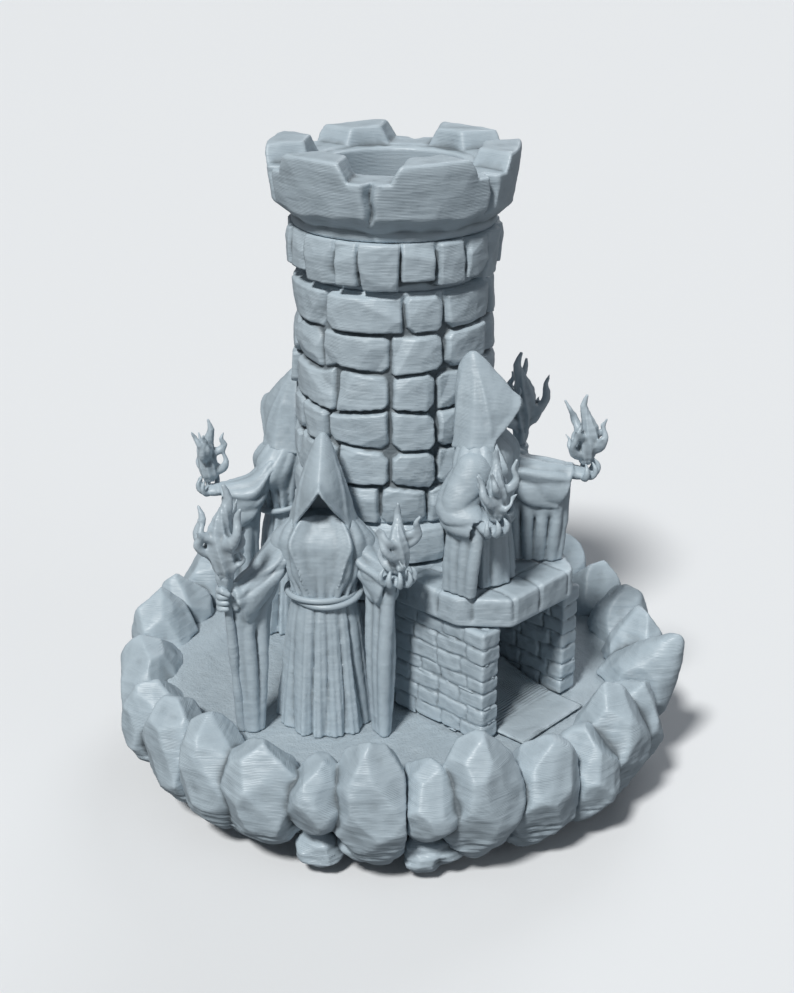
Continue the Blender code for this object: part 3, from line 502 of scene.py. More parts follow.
class WeatheredSurface(SculptTree):
    """Lumps, struck flats, print streaks and grain pushed into a surface, and a mark of its hollows for
    painted shade.
    """

    def __init__(self) -> None:
        """Build the tree."""
        super().__init__("weathered_surface", {
            "Lump Size": 9.0, "Lump Depth": 0.25, "Chip Size": 5.0, "Chip Depth": 0.2,
            "Streak Size": 1.1, "Streak Depth": 0.08, "Streak Level": 1000.0, "Grain Depth": 0.03,
            "Bore": 0.0, "Floor": -1000.0, "Ceiling": 1000.0, "Seed": 0.0,
        })
        place = self.vector("SCALE", self.node("GeometryNodeInputPosition"), TO_MM)
        moved = self.vector("ADD", place, self.node(
            "ShaderNodeCombineXYZ", inputs={0: self.size("Seed") * 37.0, 1: self.size("Seed") * 11.0}
        ))
        axes = self.tree.nodes.new("ShaderNodeSeparateXYZ")
        self.feed(axes.inputs[0], place)
        x, y, z = (Sock(self, output) for output in axes.outputs)
        lump = (self.noise(moved, self.size("Lump Size"), 2.0) - 0.5) * 2.0 * self.size("Lump Depth")
        chip = (self.cells(moved, self.size("Chip Size")) - 0.45) * 2.0 * self.size("Chip Depth")
        flat = self.vector("MULTIPLY", moved, (0.10, 0.10, 1.0))
        streak = (self.noise(flat, self.size("Streak Size"), 1.0) - 0.5) * 2.0 * self.size("Streak Depth")
        streak = streak * ((self.size("Streak Level") - z) / 8.0).clamped(0.2, 1.0)
        grain = (self.noise(moved, 0.9, 1.0) - 0.5) * 2.0 * self.size("Grain Depth")
        radius = (x * x + y * y).maths("SQRT")
        free = (radius - self.size("Bore") - 0.4).clamped() * (z - self.size("Floor")).clamped()
        free = free * (self.size("Ceiling") - z).clamped()
        push = (lump + chip + streak + grain) * free * MM
        offset = self.vector("SCALE", self.node("GeometryNodeInputNormal"), push)
        island = self.node("GeometryNodeInputMeshIsland", output="Island Index")
        faces = self.node("GeometryNodeAccumulateField", {"domain": "FACE"}, {"Group ID": island}, "Total")
        whole = self.node("GeometryNodeDeleteGeometry", {"domain": "FACE"}, {
            "Geometry": Sock(self, self.group_in.outputs["Geometry"]),
            "Selection": faces.maths("LESS_THAN", SMALLEST_SHELL),
        })
        moved_mesh = self.node("GeometryNodeSetPosition", inputs={"Geometry": whole, "Offset": offset})
        spot = self.node("GeometryNodeInputPosition")
        # A measure of how far each point lies sunk below its neighbours; the finish paints shade into
        # hollows and a highlight on edges with it.
        blurred = self.node("GeometryNodeBlurAttribute", {"data_type": "FLOAT_VECTOR"}, {
            "Value": spot, "Iterations": 30,
        })
        dip = self.vector("SUBTRACT", blurred, spot)
        hollow = self.vector("DOT_PRODUCT", dip, self.node("GeometryNodeInputNormal"), output="Value")
        marked = self.node("GeometryNodeStoreNamedAttribute", {"data_type": "FLOAT", "domain": "POINT"}, {
            "Geometry": moved_mesh, "Name": "hollow", "Value": hollow * TO_MM,
        })
        self.end(marked)

    def noise(self, place: Sock, size: Value, detail: float) -> Sock:
        """Soft noise whose features are about a size across (mm)."""
        scaled = self.vector("SCALE", place, 1.0 / size)
        return self.node("ShaderNodeTexNoise", {"noise_dimensions": "3D"}, {
            "Vector": scaled, "Scale": 1.0, "Detail": detail, "Roughness": 0.5,
        })

    def cells(self, place: Sock, size: Value) -> Sock:
        """Shallow struck hollows that meet in ridges."""
        scaled = self.vector("SCALE", place, 1.0 / size)
        return self.node("ShaderNodeTexVoronoi", {"voronoi_dimensions": "3D", "feature": "F1"}, {
            "Vector": scaled, "Scale": 1.0, "Randomness": 1.0,
        }, "Distance")


class TwistedRope(SculptTree):
    """Strands laid round each other along a closed path of edges."""

    def __init__(self) -> None:
        """Build the tree."""
        super().__init__("twisted_rope", {
            "Strands": 3.0, "Strand Radius": 0.9, "Lay Radius": 0.8, "Turns": 9.0, "Samples": 260.0,
            "Sides": 9.0,
        })
        given = Sock(self, self.group_in.outputs["Geometry"])
        path = self.node("GeometryNodeMeshToCurve", inputs={0: given})
        even = self.node("GeometryNodeResampleCurve", inputs={"Curve": path, "Count": self.size("Samples")})
        copies = self.tree.nodes.new("GeometryNodeDuplicateElements")
        copies.domain = "SPLINE"
        self.feed(copies.inputs["Geometry"], even)
        self.feed(copies.inputs["Amount"], self.size("Strands"))
        along = self.node("GeometryNodeSplineParameter", output="Factor")
        number = Sock(self, copies.outputs["Duplicate Index"])
        angle = (along * self.size("Turns") + number / self.size("Strands")) * (2.0 * math.pi)
        tangent = self.node("GeometryNodeInputTangent")
        up = (0.0, 0.0, 1.0)
        outward = self.vector("NORMALIZE", self.vector("CROSS_PRODUCT", tangent, up))
        across = self.vector("SCALE", outward, angle.maths("COSINE") * self.size("Lay Radius") * (0.75 * MM))
        rise = self.vector("SCALE", up, angle.maths("SINE") * self.size("Lay Radius") * MM)
        laid = self.node("GeometryNodeSetPosition", inputs={
            "Geometry": Sock(self, copies.outputs["Geometry"]), "Offset": self.vector("ADD", across, rise),
        })
        round_section = self.node("GeometryNodeCurvePrimitiveCircle", inputs={
            "Resolution": self.size("Sides"), "Radius": self.size("Strand Radius") * MM,
        })
        rope = self.node("GeometryNodeCurveToMesh", inputs={"Curve": laid, "Profile Curve": round_section})
        self.end(self.node("GeometryNodeSetShadeSmooth", inputs={"Geometry": rope}))


@dataclass(frozen=True)
class PrintedPlastic:
    """Grey plastic laid down in layers: faint mottling, print lines along Z, painted shade in hollows and a
    painted highlight on edges.
    """

    name: str
    slot: str
    base: tuple[float, float, float]
    shade: tuple[float, float, float]
    rough: float
    pitch: float = 0.45
    line_depth: float = 0.045
    streak_depth: float = 0.07
    grain_depth: float = 0.02
    hollow_depth: float = 0.6

    def material(self) -> bpy.types.Material:
        """The finish as a material, made once."""
        made = bpy.data.materials.get(self.name)
        if made:
            return made
        made = bpy.data.materials.new(self.name)
        made.use_nodes = True
        tree = NodeTree(made.node_tree)
        shader = made.node_tree.nodes["Principled BSDF"]
        place = tree.vector("SCALE", tree.node("ShaderNodeTexCoord", output="Object"), TO_MM)
        z = tree.node("ShaderNodeSeparateXYZ", inputs={0: place}, output="Z")
        mottle = self.noise(tree, place, 0.06, 3.0)
        speck = self.noise(tree, place, 1.4, 2.0)
        streak = self.noise(tree, tree.vector("MULTIPLY", place, (0.12, 0.12, 1.35)), 1.0, 3.0)
        wobble = self.noise(tree, place, 0.12, 1.0)
        line = ((z / self.pitch + wobble * 0.6) * (2.0 * math.pi)).maths("SINE")
        patchy = ((self.noise(tree, place, 0.16, 2.0) - 0.35) * 2.2).clamped()
        hollow = tree.node("ShaderNodeAttribute", {"attribute_name": "hollow"}, output="Fac")
        # Painted shade: the hollow measure, as a share, darkens the colour in hollows where shade would
        # fall.
        sunk = (hollow / self.hollow_depth).clamped()
        # Painted highlight: the same measure lightens the colour on edges, where a sheen would catch the
        # light.
        painted_edge_highlight = (hollow / -self.hollow_depth).clamped()
        light = (0.5 + (mottle - 0.5) * 1.1 + (streak - 0.5) * 0.5 + (speck - 0.5) * 0.25).clamped()
        colour = self.mix(tree, light, self.shade, self.base)
        # Painted shade in hollows, towards a third of the shade colour.
        colour = self.mix(tree, sunk * 0.85, colour, tuple(0.30 * part for part in self.shade))
        # Painted highlight on edges, past the base colour.
        colour = self.mix(tree, painted_edge_highlight * 0.30, colour, tuple(min(1.25 * part, 1.0) for part in self.base))
        tree.feed(shader.inputs["Base Color"], colour)
        rough = self.rough + (streak - 0.5) * 0.16 + (speck - 0.5) * 0.10 + sunk * 0.14 - painted_edge_highlight * 0.06
        tree.feed(shader.inputs["Roughness"], rough.clamped(0.2, 0.95))
        relief = (
            line * patchy * self.line_depth
            + (streak - 0.5) * (2.0 * self.streak_depth)
            + (speck - 0.5) * (2.0 * self.grain_depth)
        )
        bump = {"Height": relief, "Distance": MM, "Strength": 1.0}
        tree.feed(shader.inputs["Normal"], tree.node("ShaderNodeBump", inputs=bump, output="Normal"))
        shader.inputs["Specular IOR Level"].default_value = 0.5
        return made

    @staticmethod
    def noise(tree: NodeTree, place: Sock, scale: float, detail: float) -> Sock:
        """Soft noise on a place in millimetres."""
        return tree.node("ShaderNodeTexNoise", {"noise_dimensions": "3D"}, {
            "Vector": place, "Scale": scale, "Detail": detail, "Roughness": 0.55,
        })

    @staticmethod
    def mix(tree: NodeTree, share: Sock, first: object, second: object) -> Sock:
        """A colour between two colours."""
        ends = [value if isinstance(value, Sock) else (*value, 1.0) for value in (first, second)]
        return tree.node("ShaderNodeMix", {"data_type": "RGBA"}, {
            "Factor_Float": share, "A_Color": ends[0], "B_Color": ends[1],
        }, "Result_Color")


STONE = PrintedPlastic("printed_stone", "stone_plastic", (0.445, 0.525, 0.580), (0.330, 0.400, 0.452), 0.50)
ROCK = PrintedPlastic(
    "printed_rock", "rock_plastic", (0.430, 0.512, 0.568), (0.310, 0.380, 0.432), 0.48,
    line_depth=0.05, streak_depth=0.09,
)
CLOTH = PrintedPlastic(
    "printed_cloth", "figure_plastic", (0.438, 0.520, 0.576), (0.328, 0.398, 0.450), 0.46,
    pitch=0.40, streak_depth=0.035, hollow_depth=0.8,
)
FLAME = PrintedPlastic(
    "printed_flame", "flame_plastic", (0.455, 0.535, 0.590), (0.345, 0.414, 0.466), 0.42,
    pitch=0.38, line_depth=0.02, streak_depth=0.02, hollow_depth=0.55,
)
SAND = PrintedPlastic(
    "printed_sand", "tray_plastic", (0.415, 0.490, 0.540), (0.325, 0.390, 0.438), 0.56,
    pitch=0.30, line_depth=0.045, streak_depth=0.03, grain_depth=0.16, hollow_depth=1.5,
)
RAMP = PrintedPlastic(
    "printed_ramp", "tray_plastic", (0.415, 0.490, 0.540), (0.325, 0.390, 0.438), 0.54,
    pitch=0.16, line_depth=0.32, streak_depth=0.0, grain_depth=0.03,
)


class Workshop:
    """What every piece goes through: mesh, weathering, finish, and its place on the frame."""

    def __init__(self) -> None:
        """Build the shared trees once."""
        self.weather = WeatheredSurface()
        self.rope = TwistedRope()
        self.collection = bpy.data.collections.new("dressed_tower")
        bpy.context.scene.collection.children.link(self.collection)

    def piece(
        self, name: str, points: Array, faces: Array, place: Optional[Matrix] = None
    ) -> bpy.types.Object:
        """A smooth-shaded object from arrays.

        Args:
            name: the piece's name.
            points: its points in millimetres.
            faces: its faces, all with as many corners.
            place: where its own frame stands, in millimetres.

        Returns:
            The object, at the origin with its place in its mesh.
        """
        spots = np.asarray(points, dtype=np.float64)
        if place is not None:
            turn = np.array(place)
            spots = spots @ turn[:3, :3].T + turn[:3, 3]
        mesh = bpy.data.meshes.new(name)
        corners = faces.shape[1]
        mesh.vertices.add(len(spots))
        mesh.vertices.foreach_set("co", (spots * MM).astype(np.float32).ravel())
        mesh.loops.add(faces.size)
        mesh.loops.foreach_set("vertex_index", faces.astype(np.int32).ravel())
        mesh.polygons.add(len(faces))
        mesh.polygons.foreach_set("loop_start", np.arange(0, faces.size, corners, dtype=np.int32))
        mesh.polygons.foreach_set("use_smooth", np.ones(len(faces), dtype=bool))
        mesh.update(calc_edges=True)
        obj = bpy.data.objects.new(name, mesh)
        self.collection.objects.link(obj)
        return obj

    def fit(self, obj: bpy.types.Object, finish: PrintedPlastic, body: Body, *nodes: str) -> None:
        """Put a finished piece on the frame.

        Args:
            obj: the piece.
            finish: its finish; not used.
            body: what it moves with.
            nodes: the CAD nodes that it stands for.
        """
        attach(obj, body.value)
        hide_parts(*nodes)
        LOG.info("%s: %d faces on %s", obj.name, len(obj.data.polygons), body.value)

    def weathered(
        self, obj: bpy.types.Object, finish: PrintedPlastic, body: Body, node: str, **sizes: float
    ) -> None:
        """Roughen and dress a piece, and put it on the frame.

        Args:
            obj: the piece.
            finish: its finish.
            body: what it moves with.
            node: the CAD node that it stands for.
            sizes: inputs of the weathering, with underscores for spaces.
        """
        self.weather.shape(obj, finish.material(), **sizes)
        self.fit(obj, finish, body, node)


def turned_mesh(rows: Sequence[Array], closed: bool) -> tuple[Array, Array]:
    """A skin over rings of like count.

    Args:
        rows: rings of points (mm), each running anticlockwise from above.
        closed: whether the last ring joins the first; otherwise both ends are closed by fans.

    Returns:
        Points and three-sided faces.
    """
    count = len(rows[0])
    points = np.concatenate(rows)
    here = np.arange(count)
    after = (here + 1) % count
    faces = []
    pairs = range(len(rows)) if closed else range(len(rows) - 1)
    for row in pairs:
        low = row * count
        high = ((row + 1) % len(rows)) * count
        faces.append(np.stack([low + here, low + after, high + after], axis=1))
        faces.append(np.stack([low + here, high + after, high + here], axis=1))
    if not closed:
        first, last = len(points), len(points) + 1
        points = np.concatenate([points, rows[0].mean(axis=0)[None], rows[-1].mean(axis=0)[None]])
        end = (len(rows) - 1) * count
        faces.append(np.stack([after, here, np.full(count, first)], axis=1))
        faces.append(np.stack([end + here, end + after, np.full(count, last)], axis=1))
    return points, np.concatenate(faces)


def ring(radius: Union[float, Array], z: float, count: int) -> Array:
    """One ring of points about the tower's axis."""
    turn = np.linspace(0.0, 2.0 * math.pi, count, endpoint=False)
    reach = np.broadcast_to(radius, count)
    return np.stack([reach * np.sin(turn), -reach * np.cos(turn), np.full(count, z)], axis=1)


@dataclass
class Tray:
    """The dish that the dice come to rest in (mm)."""

    floor_z: float = FLOOR_Z
    floor_radius: float = 77.0
    foot_radius: float = 69.0
    socket_radius: float = 30.4
    socket_depth: float = 4.0
    lap: float = 5.5
    sides: int = 300

    def flank(self, z: Array) -> Array:
        """Radius of the dish's outside at a height."""
        heights = (0.0, 2.5, 13.0, self.floor_z - 4.0, self.floor_z)
        reach = (
            self.foot_radius, self.foot_radius + 2.5, self.floor_radius - 1.0,
            self.floor_radius + 1.5, self.floor_radius,
        )
        return np.interp(z, heights, reach)

    def rings(self) -> list[Array]:
        """Rings from the middle of the underside, up the flank and over the floor to the socket."""
        rows = [ring(radius, 0.0, self.sides) for radius in np.linspace(2.0, self.foot_radius, 8)]
        heights = [0.8, 1.6, 2.5, 6.0, 10.0, 13.0, 20.0, 26.0, 30.0, 32.0, self.floor_z - 1.0]
        rows += [ring(float(self.flank(np.array(z))), z, self.sides) for z in heights]
        rows += [ring(self.floor_radius + self.lap, self.floor_z - drop, self.sides) for drop in (0.9, 0.1)]
        lap_edge = self.floor_radius + self.lap - 0.6
        for first, last in ((lap_edge, self.floor_radius), (self.floor_radius - 0.5, self.socket_radius)):
            rows += [ring(radius, self.floor_z, self.sides) for radius in np.arange(first, last, -0.9)]
        low = self.floor_z - self.socket_depth
        rows += [ring(self.socket_radius, z, self.sides) for z in (self.floor_z, self.floor_z - 0.5, low)]
        rows += [ring(radius, low, self.sides) for radius in (24.0, 14.0, 2.0)]
        return rows

    def build(self, shop: Workshop) -> None:
        """The dish with its sandy floor."""
        points, faces = turned_mesh(self.rings(), closed=False)
        dish = shop.piece("tray_sandy_dish", points, faces)
        shop.weathered(
            dish, SAND, Body.TRAY, "tray_dish", Lump_Size=12.0, Lump_Depth=0.35, Chip_Size=2.2,
            Chip_Depth=0.20, Streak_Depth=0.0, Grain_Depth=0.22, Bore=31.0, Floor=32.6, Seed=1.0,
        )


@dataclass
class BoulderRim:
    """The ring of boulders round the tray, in eight lengths (mm)."""

    tray: Tray
    lengths: int = 8
    seed: int = 47
    ring: float = 87.6
    height: float = 28.5
    depth: float = 27.0
    low_ring: float = 83.0
    low_height: float = 11.5
    low_boulders: int = 2
    step: float = 0.72
    gap: float = GAP
    block_ring: tuple[float, float] = (72.0, 105.0)
    block_rise: tuple[float, float] = (0.4, 60.0)
    swell: tuple[float, float] = (1.2, 1.06)
    usual_height: float = 42.0
    head: float = 0.24
    front_pebbles: tuple[float, ...] = (-16.5, 6.5)
    pebble_ring: float = 85.0
    pebble_height: float = 9.4
    pebble_size: tuple[float, float, float] = (16.5, 14.0, 14.5)
    short: float = 30.0
    short_lift: float = 9.2
    spur_height: float = 50.0
    spur_lean: float = 21.0
    spur_head: float = 0.55
    boulders: tuple[tuple[float, float, float], ...] = (
        (-179.0, 24, 40), (-166.0, 22, 44), (-153.0, 25, 41), (-140.0, 21, 38), (-127.0, 27, 47),
        (-113.0, 22, 42), (-102.0, 26, 44), (-85.0, 30, 38), (-69.0, 18, 36), (-55.0, 30, 38),
        (-41.5, 25, 40), (-28.5, 29, 40), (-15.7, 17, 29), (-4.0, 25, 46), (7.0, 18, 29),
        (17.5, 26, 46), (32.5, 26, 38), (45.0, 18, 34), (56.0, 24, 43), (66.0, 21, 38),
        (78.0, 21, 50), (89.0, 27, 46), (104.0, 26, 44), (119.0, 25, 44), (133.0, 26, 47),
        (147.0, 24, 41), (160.0, 25, 43),
    )

    def parting(self, index: int) -> float:
        """Azimuth of the crease before a boulder."""
        azimuth, width, _ = self.boulders[index % len(self.boulders)]
        before, width_before, _ = self.boulders[index % len(self.boulders) - 1]
        return azimuth - ((azimuth - before) % 360.0) * width / (width + width_before)

    @staticmethod
    def planes(
        rng: random.Random, count: int, wobble: float, rises: Sequence[Point], limits: Point
    ) -> list[tuple[Vector, float]]:
        """Planes struck off a boulder of unit size: which way each faces, and how far out it lies.

        Args:
            rng: where the draws come from.
            count: how many there are, round the boulder.
            wobble: how far each may turn from its place, in degrees.
            rises: lowest and highest rise of their faces in degrees, used in turn.
            limits: nearest and farthest that a plane lies.

        Returns:
            The planes.
        """
        made = []
        for index in range(count):
            turn = math.radians(360.0 / count * index + rng.uniform(-wobble, wobble))
            rise = math.radians(rng.uniform(*rises[index % len(rises)]))
            flat = math.cos(rise)
            normal = Vector((flat * math.cos(turn), flat * math.sin(turn), math.sin(rise)))
            made.append((normal, rng.uniform(*limits)))
        return made

    def flats(self, rng: random.Random) -> list[tuple[Vector, float]]:
        """Large planes struck off all round a boulder."""
        return self.planes(rng, 9, 16.0, ((-40.0, -5.0), (10.0, 58.0), (10.0, 58.0)), (0.76, 0.90))

    def facets(self, seed: int) -> list[tuple[Vector, float]]:
        """Smaller planes struck off a boulder's head and shoulders."""
        return self.planes(random.Random(seed), 10, 20.0, ((-8.0, 70.0),), (0.78, 0.92))

    @staticmethod
    def boulder(size: Point, place: Matrix, flats: list[tuple[Vector, float]], head: float) -> Solid:
        """A boulder that narrows to its head, with flats struck off all round it.

        Args:
            size: its width, depth and height.
            place: where it stands.
            flats: its struck planes.
            head: share by which its head narrows.

        Returns:
            The solid.
        """
        half = [part / 2 for part in size]
        back = np.array(place.inverted())
        middle = place.translation
        reach = max(half) * 1.05

        def distance(x: Array, y: Array, z: Array) -> Array:
            """Distance in the boulder's own unit frame, brought back to size."""
            p = [(back[i, 0] * x + back[i, 1] * y + back[i, 2] * z + back[i, 3]) / half[i] for i in range(3)]
            narrow = 1.0 - head * np.clip(p[2], 0.0, 1.2) - 0.50 * np.clip(-0.20 - p[2], 0.0, 1.0)
            q = [p[0] / narrow, p[1] / narrow, p[2]]
            swollen = np.sqrt(sum((np.abs(part) + 1e-6) ** (2.0 / 0.84) for part in q))
            best = (swollen - 1.0) * 0.84
            for normal, limit in flats:
                plane = p[0] * normal.x + p[1] * normal.y + p[2] * normal.z - limit
                best = smooth_max(best, plane, 0.015)
            return best * min(half)

        return Solid(distance, tuple(c - reach for c in middle), tuple(c + reach for c in middle))

    def stones(self, first: int, after: int, rng: random.Random) -> list[Solid]:
        """The boulders of one length: large ones in a row, then small ones low between them."""
        made = []
        for number in range(first, after):
            azimuth, width, height = self.boulders[number]
            flats = self.flats(rng)
            spur = height >= self.spur_height
            lean = math.radians(rng.uniform(4.0, 13.0) + self.spur_lean * spur)
            roll = rng.uniform(-0.12, 0.12)
            flats += self.facets(100 + number)
            lift = (height - self.usual_height) * 0.5 + self.short_lift * (height < self.short)
            spot = self.seat(self.ring, azimuth, self.height + lift, roll, lean)
            if spur:
                flats = [flat for flat in flats if flat[0].z < 0.45]
            size = (self.swell[0] * width, self.depth, self.swell[1] * height)
            made.append(self.boulder(size, spot, flats, self.spur_head if spur else self.head))
        start = self.parting(first)
        span = (self.parting(after) - start) % 360.0
        for azimuth in self.front_pebbles:
            if (azimuth - start) % 360.0 < span:
                spot = self.seat(self.pebble_ring, azimuth, self.pebble_height, 0.1, 0.2)
                made.append(self.boulder(self.pebble_size, spot, self.facets(int(azimuth)), self.head))
        for number in range(self.low_boulders):
            azimuth = start + span * (number + 0.5) / self.low_boulders + rng.uniform(-3.0, 3.0)
            size = rng.uniform(17.0, 21.0)
            flats = self.flats(rng)
            rise, roll = self.low_height + rng.uniform(-1.5, 1.5), rng.uniform(-0.3, 0.3)
            flats += self.facets(200 + first + number)
            spot = self.seat(self.low_ring, azimuth, rise, roll, 0.2)
            made.append(self.boulder((size, 0.9 * size, 0.8 * size), spot, flats, self.head))
        return made

    @staticmethod
    def seat(radius: float, azimuth: float, z: float, roll: float, lean: float) -> Matrix:
        """Where a boulder stands, leaning out and rolled a little."""
        turn = Matrix.Rotation(math.radians(azimuth), 4, "Z") @ Matrix.Rotation(roll, 4, "Y")
        return Matrix.Translation(polar(radius, azimuth, z)) @ turn @ Matrix.Rotation(lean, 4, "X")

    def core(self, x: Array, y: Array, z: Array) -> Array:
        """The rock behind the boulders."""
        radius = np.sqrt(x * x + y * y)
        outer = np.interp(z, (8.0, 26.0, 37.0), (self.low_ring - 4.0, self.ring + 2.0, self.ring + 1.0))
        top = z - self.tray.floor_z + 0.5 + 0.15 * (radius - self.tray.floor_radius)
        return np.maximum(np.maximum(radius - outer, 73.0 - radius), np.maximum(top, 8.0 - z))

    def build(self, shop: Workshop) -> None:
        """All eight lengths, each parted in a crease from the next and seated on the dish."""
        rng = random.Random(self.seed)
        firsts = [round(index * len(self.boulders) / self.lengths) for index in range(self.lengths + 1)]
        for index, (first, after) in enumerate(zip(firsts, firsts[1:])):
            start = self.parting(first)
            span = (self.parting(after) - start) % 360.0
            turns = [start + span * share / 6.0 for share in range(-1, 8)]
            low, high = box_round([polar(out, turn) for out in self.block_ring for turn in turns], 0.0)
            low, high = (*low[:2], self.block_rise[0]), (*high[:2], self.block_rise[1])
            clay = Clay(low, high, self.step)
            for stone in self.stones(first, after, rng):
                clay.add(stone, 0.3)
            clay.add(Solid(self.core, low, high), 0.8)
            self.trim(clay, start, span)
            piece = shop.piece(f"boulder_rim_{index + 1}", *clay.skin())
            shop.weathered(
                piece, ROCK, Body.TRAY, f"rim_{index + 1}", Lump_Size=7.0, Lump_Depth=0.18, Chip_Size=6.5,
                Chip_Depth=0.35, Streak_Size=1.5, Streak_Depth=1.1, Streak_Level=24.0, Grain_Depth=0.05,
                Floor=1.0, Seed=index + 2.0,
            )

    def trim(self, clay: Clay, start: float, span: float) -> None:
        """Cut a length at its partings and off the dish that it stands round."""
        for azimuth, sign in ((start, 1.0), (start + span, -1.0)):
            side = polar(1.0, azimuth + 90.0)
            clay.keep(lambda x, y, z, n=side, s=sign: self.gap / 2 - s * (x * n.x + y * n.y), 0.5)

        def seat(x: Array, y: Array, z: Array) -> Array:
            """Outside of the dish, with a fitting gap."""
            reach = self.tray.flank(z) + self.gap
            return -np.maximum(np.sqrt(x * x + y * y) - reach, z - self.tray.floor_z - self.gap)

        clay.keep(seat)
        clay.stand(0.6)


@dataclass
class Masonry:
    """Rough stones in courses on a drum: joints, beds and how far each stone stands out (mm)."""

    rng: random.Random
    joint: float = 0.3
    bevel: float = 0.85
    proud: float = 2.4
    sunk: float = 0.8
    corner: float = 2.8
    ragged: float = 0.4
    skew: float = 0.06
    foot_drop: float = 0.0
    pocket: float = 0.0

    def relief(
        self, azimuth: Array, z: Array, beds: Sequence[tuple[Array, Array]], joints: Sequence[list[float]],
        radius: float,
    ) -> Array:
        """How far the stone stands out from the drum.

        Args:
            azimuth: columns of the grid, in degrees.
            z: rows of the grid.
            beds: azimuths and heights of each bed line, lowest first.
            joints: azimuths of each course's upright joints.
            radius: the drum's radius.

        Returns:
            Heights, one row for each z.
        """
        high = np.full((len(z), len(azimuth)), -self.sunk)
        lines = [np.interp(azimuth, *bed, period=360.0) for bed in beds]
        scale = math.radians(1.0) * radius
        for course, azimuths in enumerate(joints):
            low, top = lines[course], lines[course + 1]
            for start, end in zip(azimuths, azimuths[1:] + [azimuths[0] + 360.0]):
                along = ((azimuth - start) % 360.0) * scale
                inside = along < (end - start) * scale
                rows = (z > low[inside].min() - 1.0) & (z < top[inside].max() + 1.0)
                patch = np.ix_(rows, inside)
                stone = self.stone(along[inside], z[rows], low[inside], top[inside], (end - start) * scale)
                high[patch] = np.maximum(high[patch], stone)
        below = np.clip((z[0] + 7.0 - z) / 2.0, 0.0, 1.0)[:, None]
        return high - self.pocket * below * (high < 0.02 - self.sunk)

    def stone(self, along: Array, z: Array, low: Array, top: Array, width: float) -> Array:
        """One stone: a bevelled outline with ragged corners, and a face struck in flats.

        Args:
            along: distance of each column from the stone's left joint.
            z: the rows' heights.
            low: height of the bed below at each column.
            top: height of the bed above at each column.
            width: the stone's width.

        Returns:
            Its heights over the drum.
        """
        draw = self.rng.uniform
        height = float((top - low).mean())
        u, v = along[None, :], z[:, None] - low[None, :]
        tall = (top - low)[None, :]
        lean = [draw(-self.skew, self.skew) for _ in range(2)]
        left = u - self.joint / 2 - lean[0] * (v - height / 2) - draw(0.0, 0.3)
        right = width - u - self.joint / 2 - lean[1] * (v - height / 2) - draw(0.0, 0.3)
        foot = v - self.joint / 2 - draw(0.0, self.ragged) - draw(0.0, 1.0) * self.foot_drop
        head = tall - v - self.joint / 2 - draw(0.0, self.ragged)
        edge = smooth_min(smooth_min(left, right, 0.3), smooth_min(foot * 2.2, head, 0.3), 0.35)
        for a in (left, right):
            for b in (foot, head):
                edge = smooth_min(edge, (a + b - draw(-0.5, self.corner)) * 0.75, 0.25)
        rise = 1.0 - (1.0 - np.clip(edge / self.bevel, 0.0, 1.0)) ** 1.2
        across, up = u - width / 2, v - height / 2
        face = draw(-0.5, 0.4) + draw(-0.05, 0.05) * across + draw(-0.06, 0.06) * up
        struck = np.zeros_like(edge)
        for _ in range(5):
            turn = draw(0.0, 2.0 * math.pi)
            reach = draw(0.25, 0.75) * (abs(math.cos(turn)) * width + abs(math.sin(turn)) * height) / 2
            fall = reach - math.cos(turn) * across - math.sin(turn) * up
            struck = np.minimum(struck, draw(0.12, 0.50) * fall)
        raised = rise * (self.proud + face + np.maximum(struck, -1.5))
        return np.where(edge > -0.4, raised, 0.0) - self.sunk * (1.0 - rise)


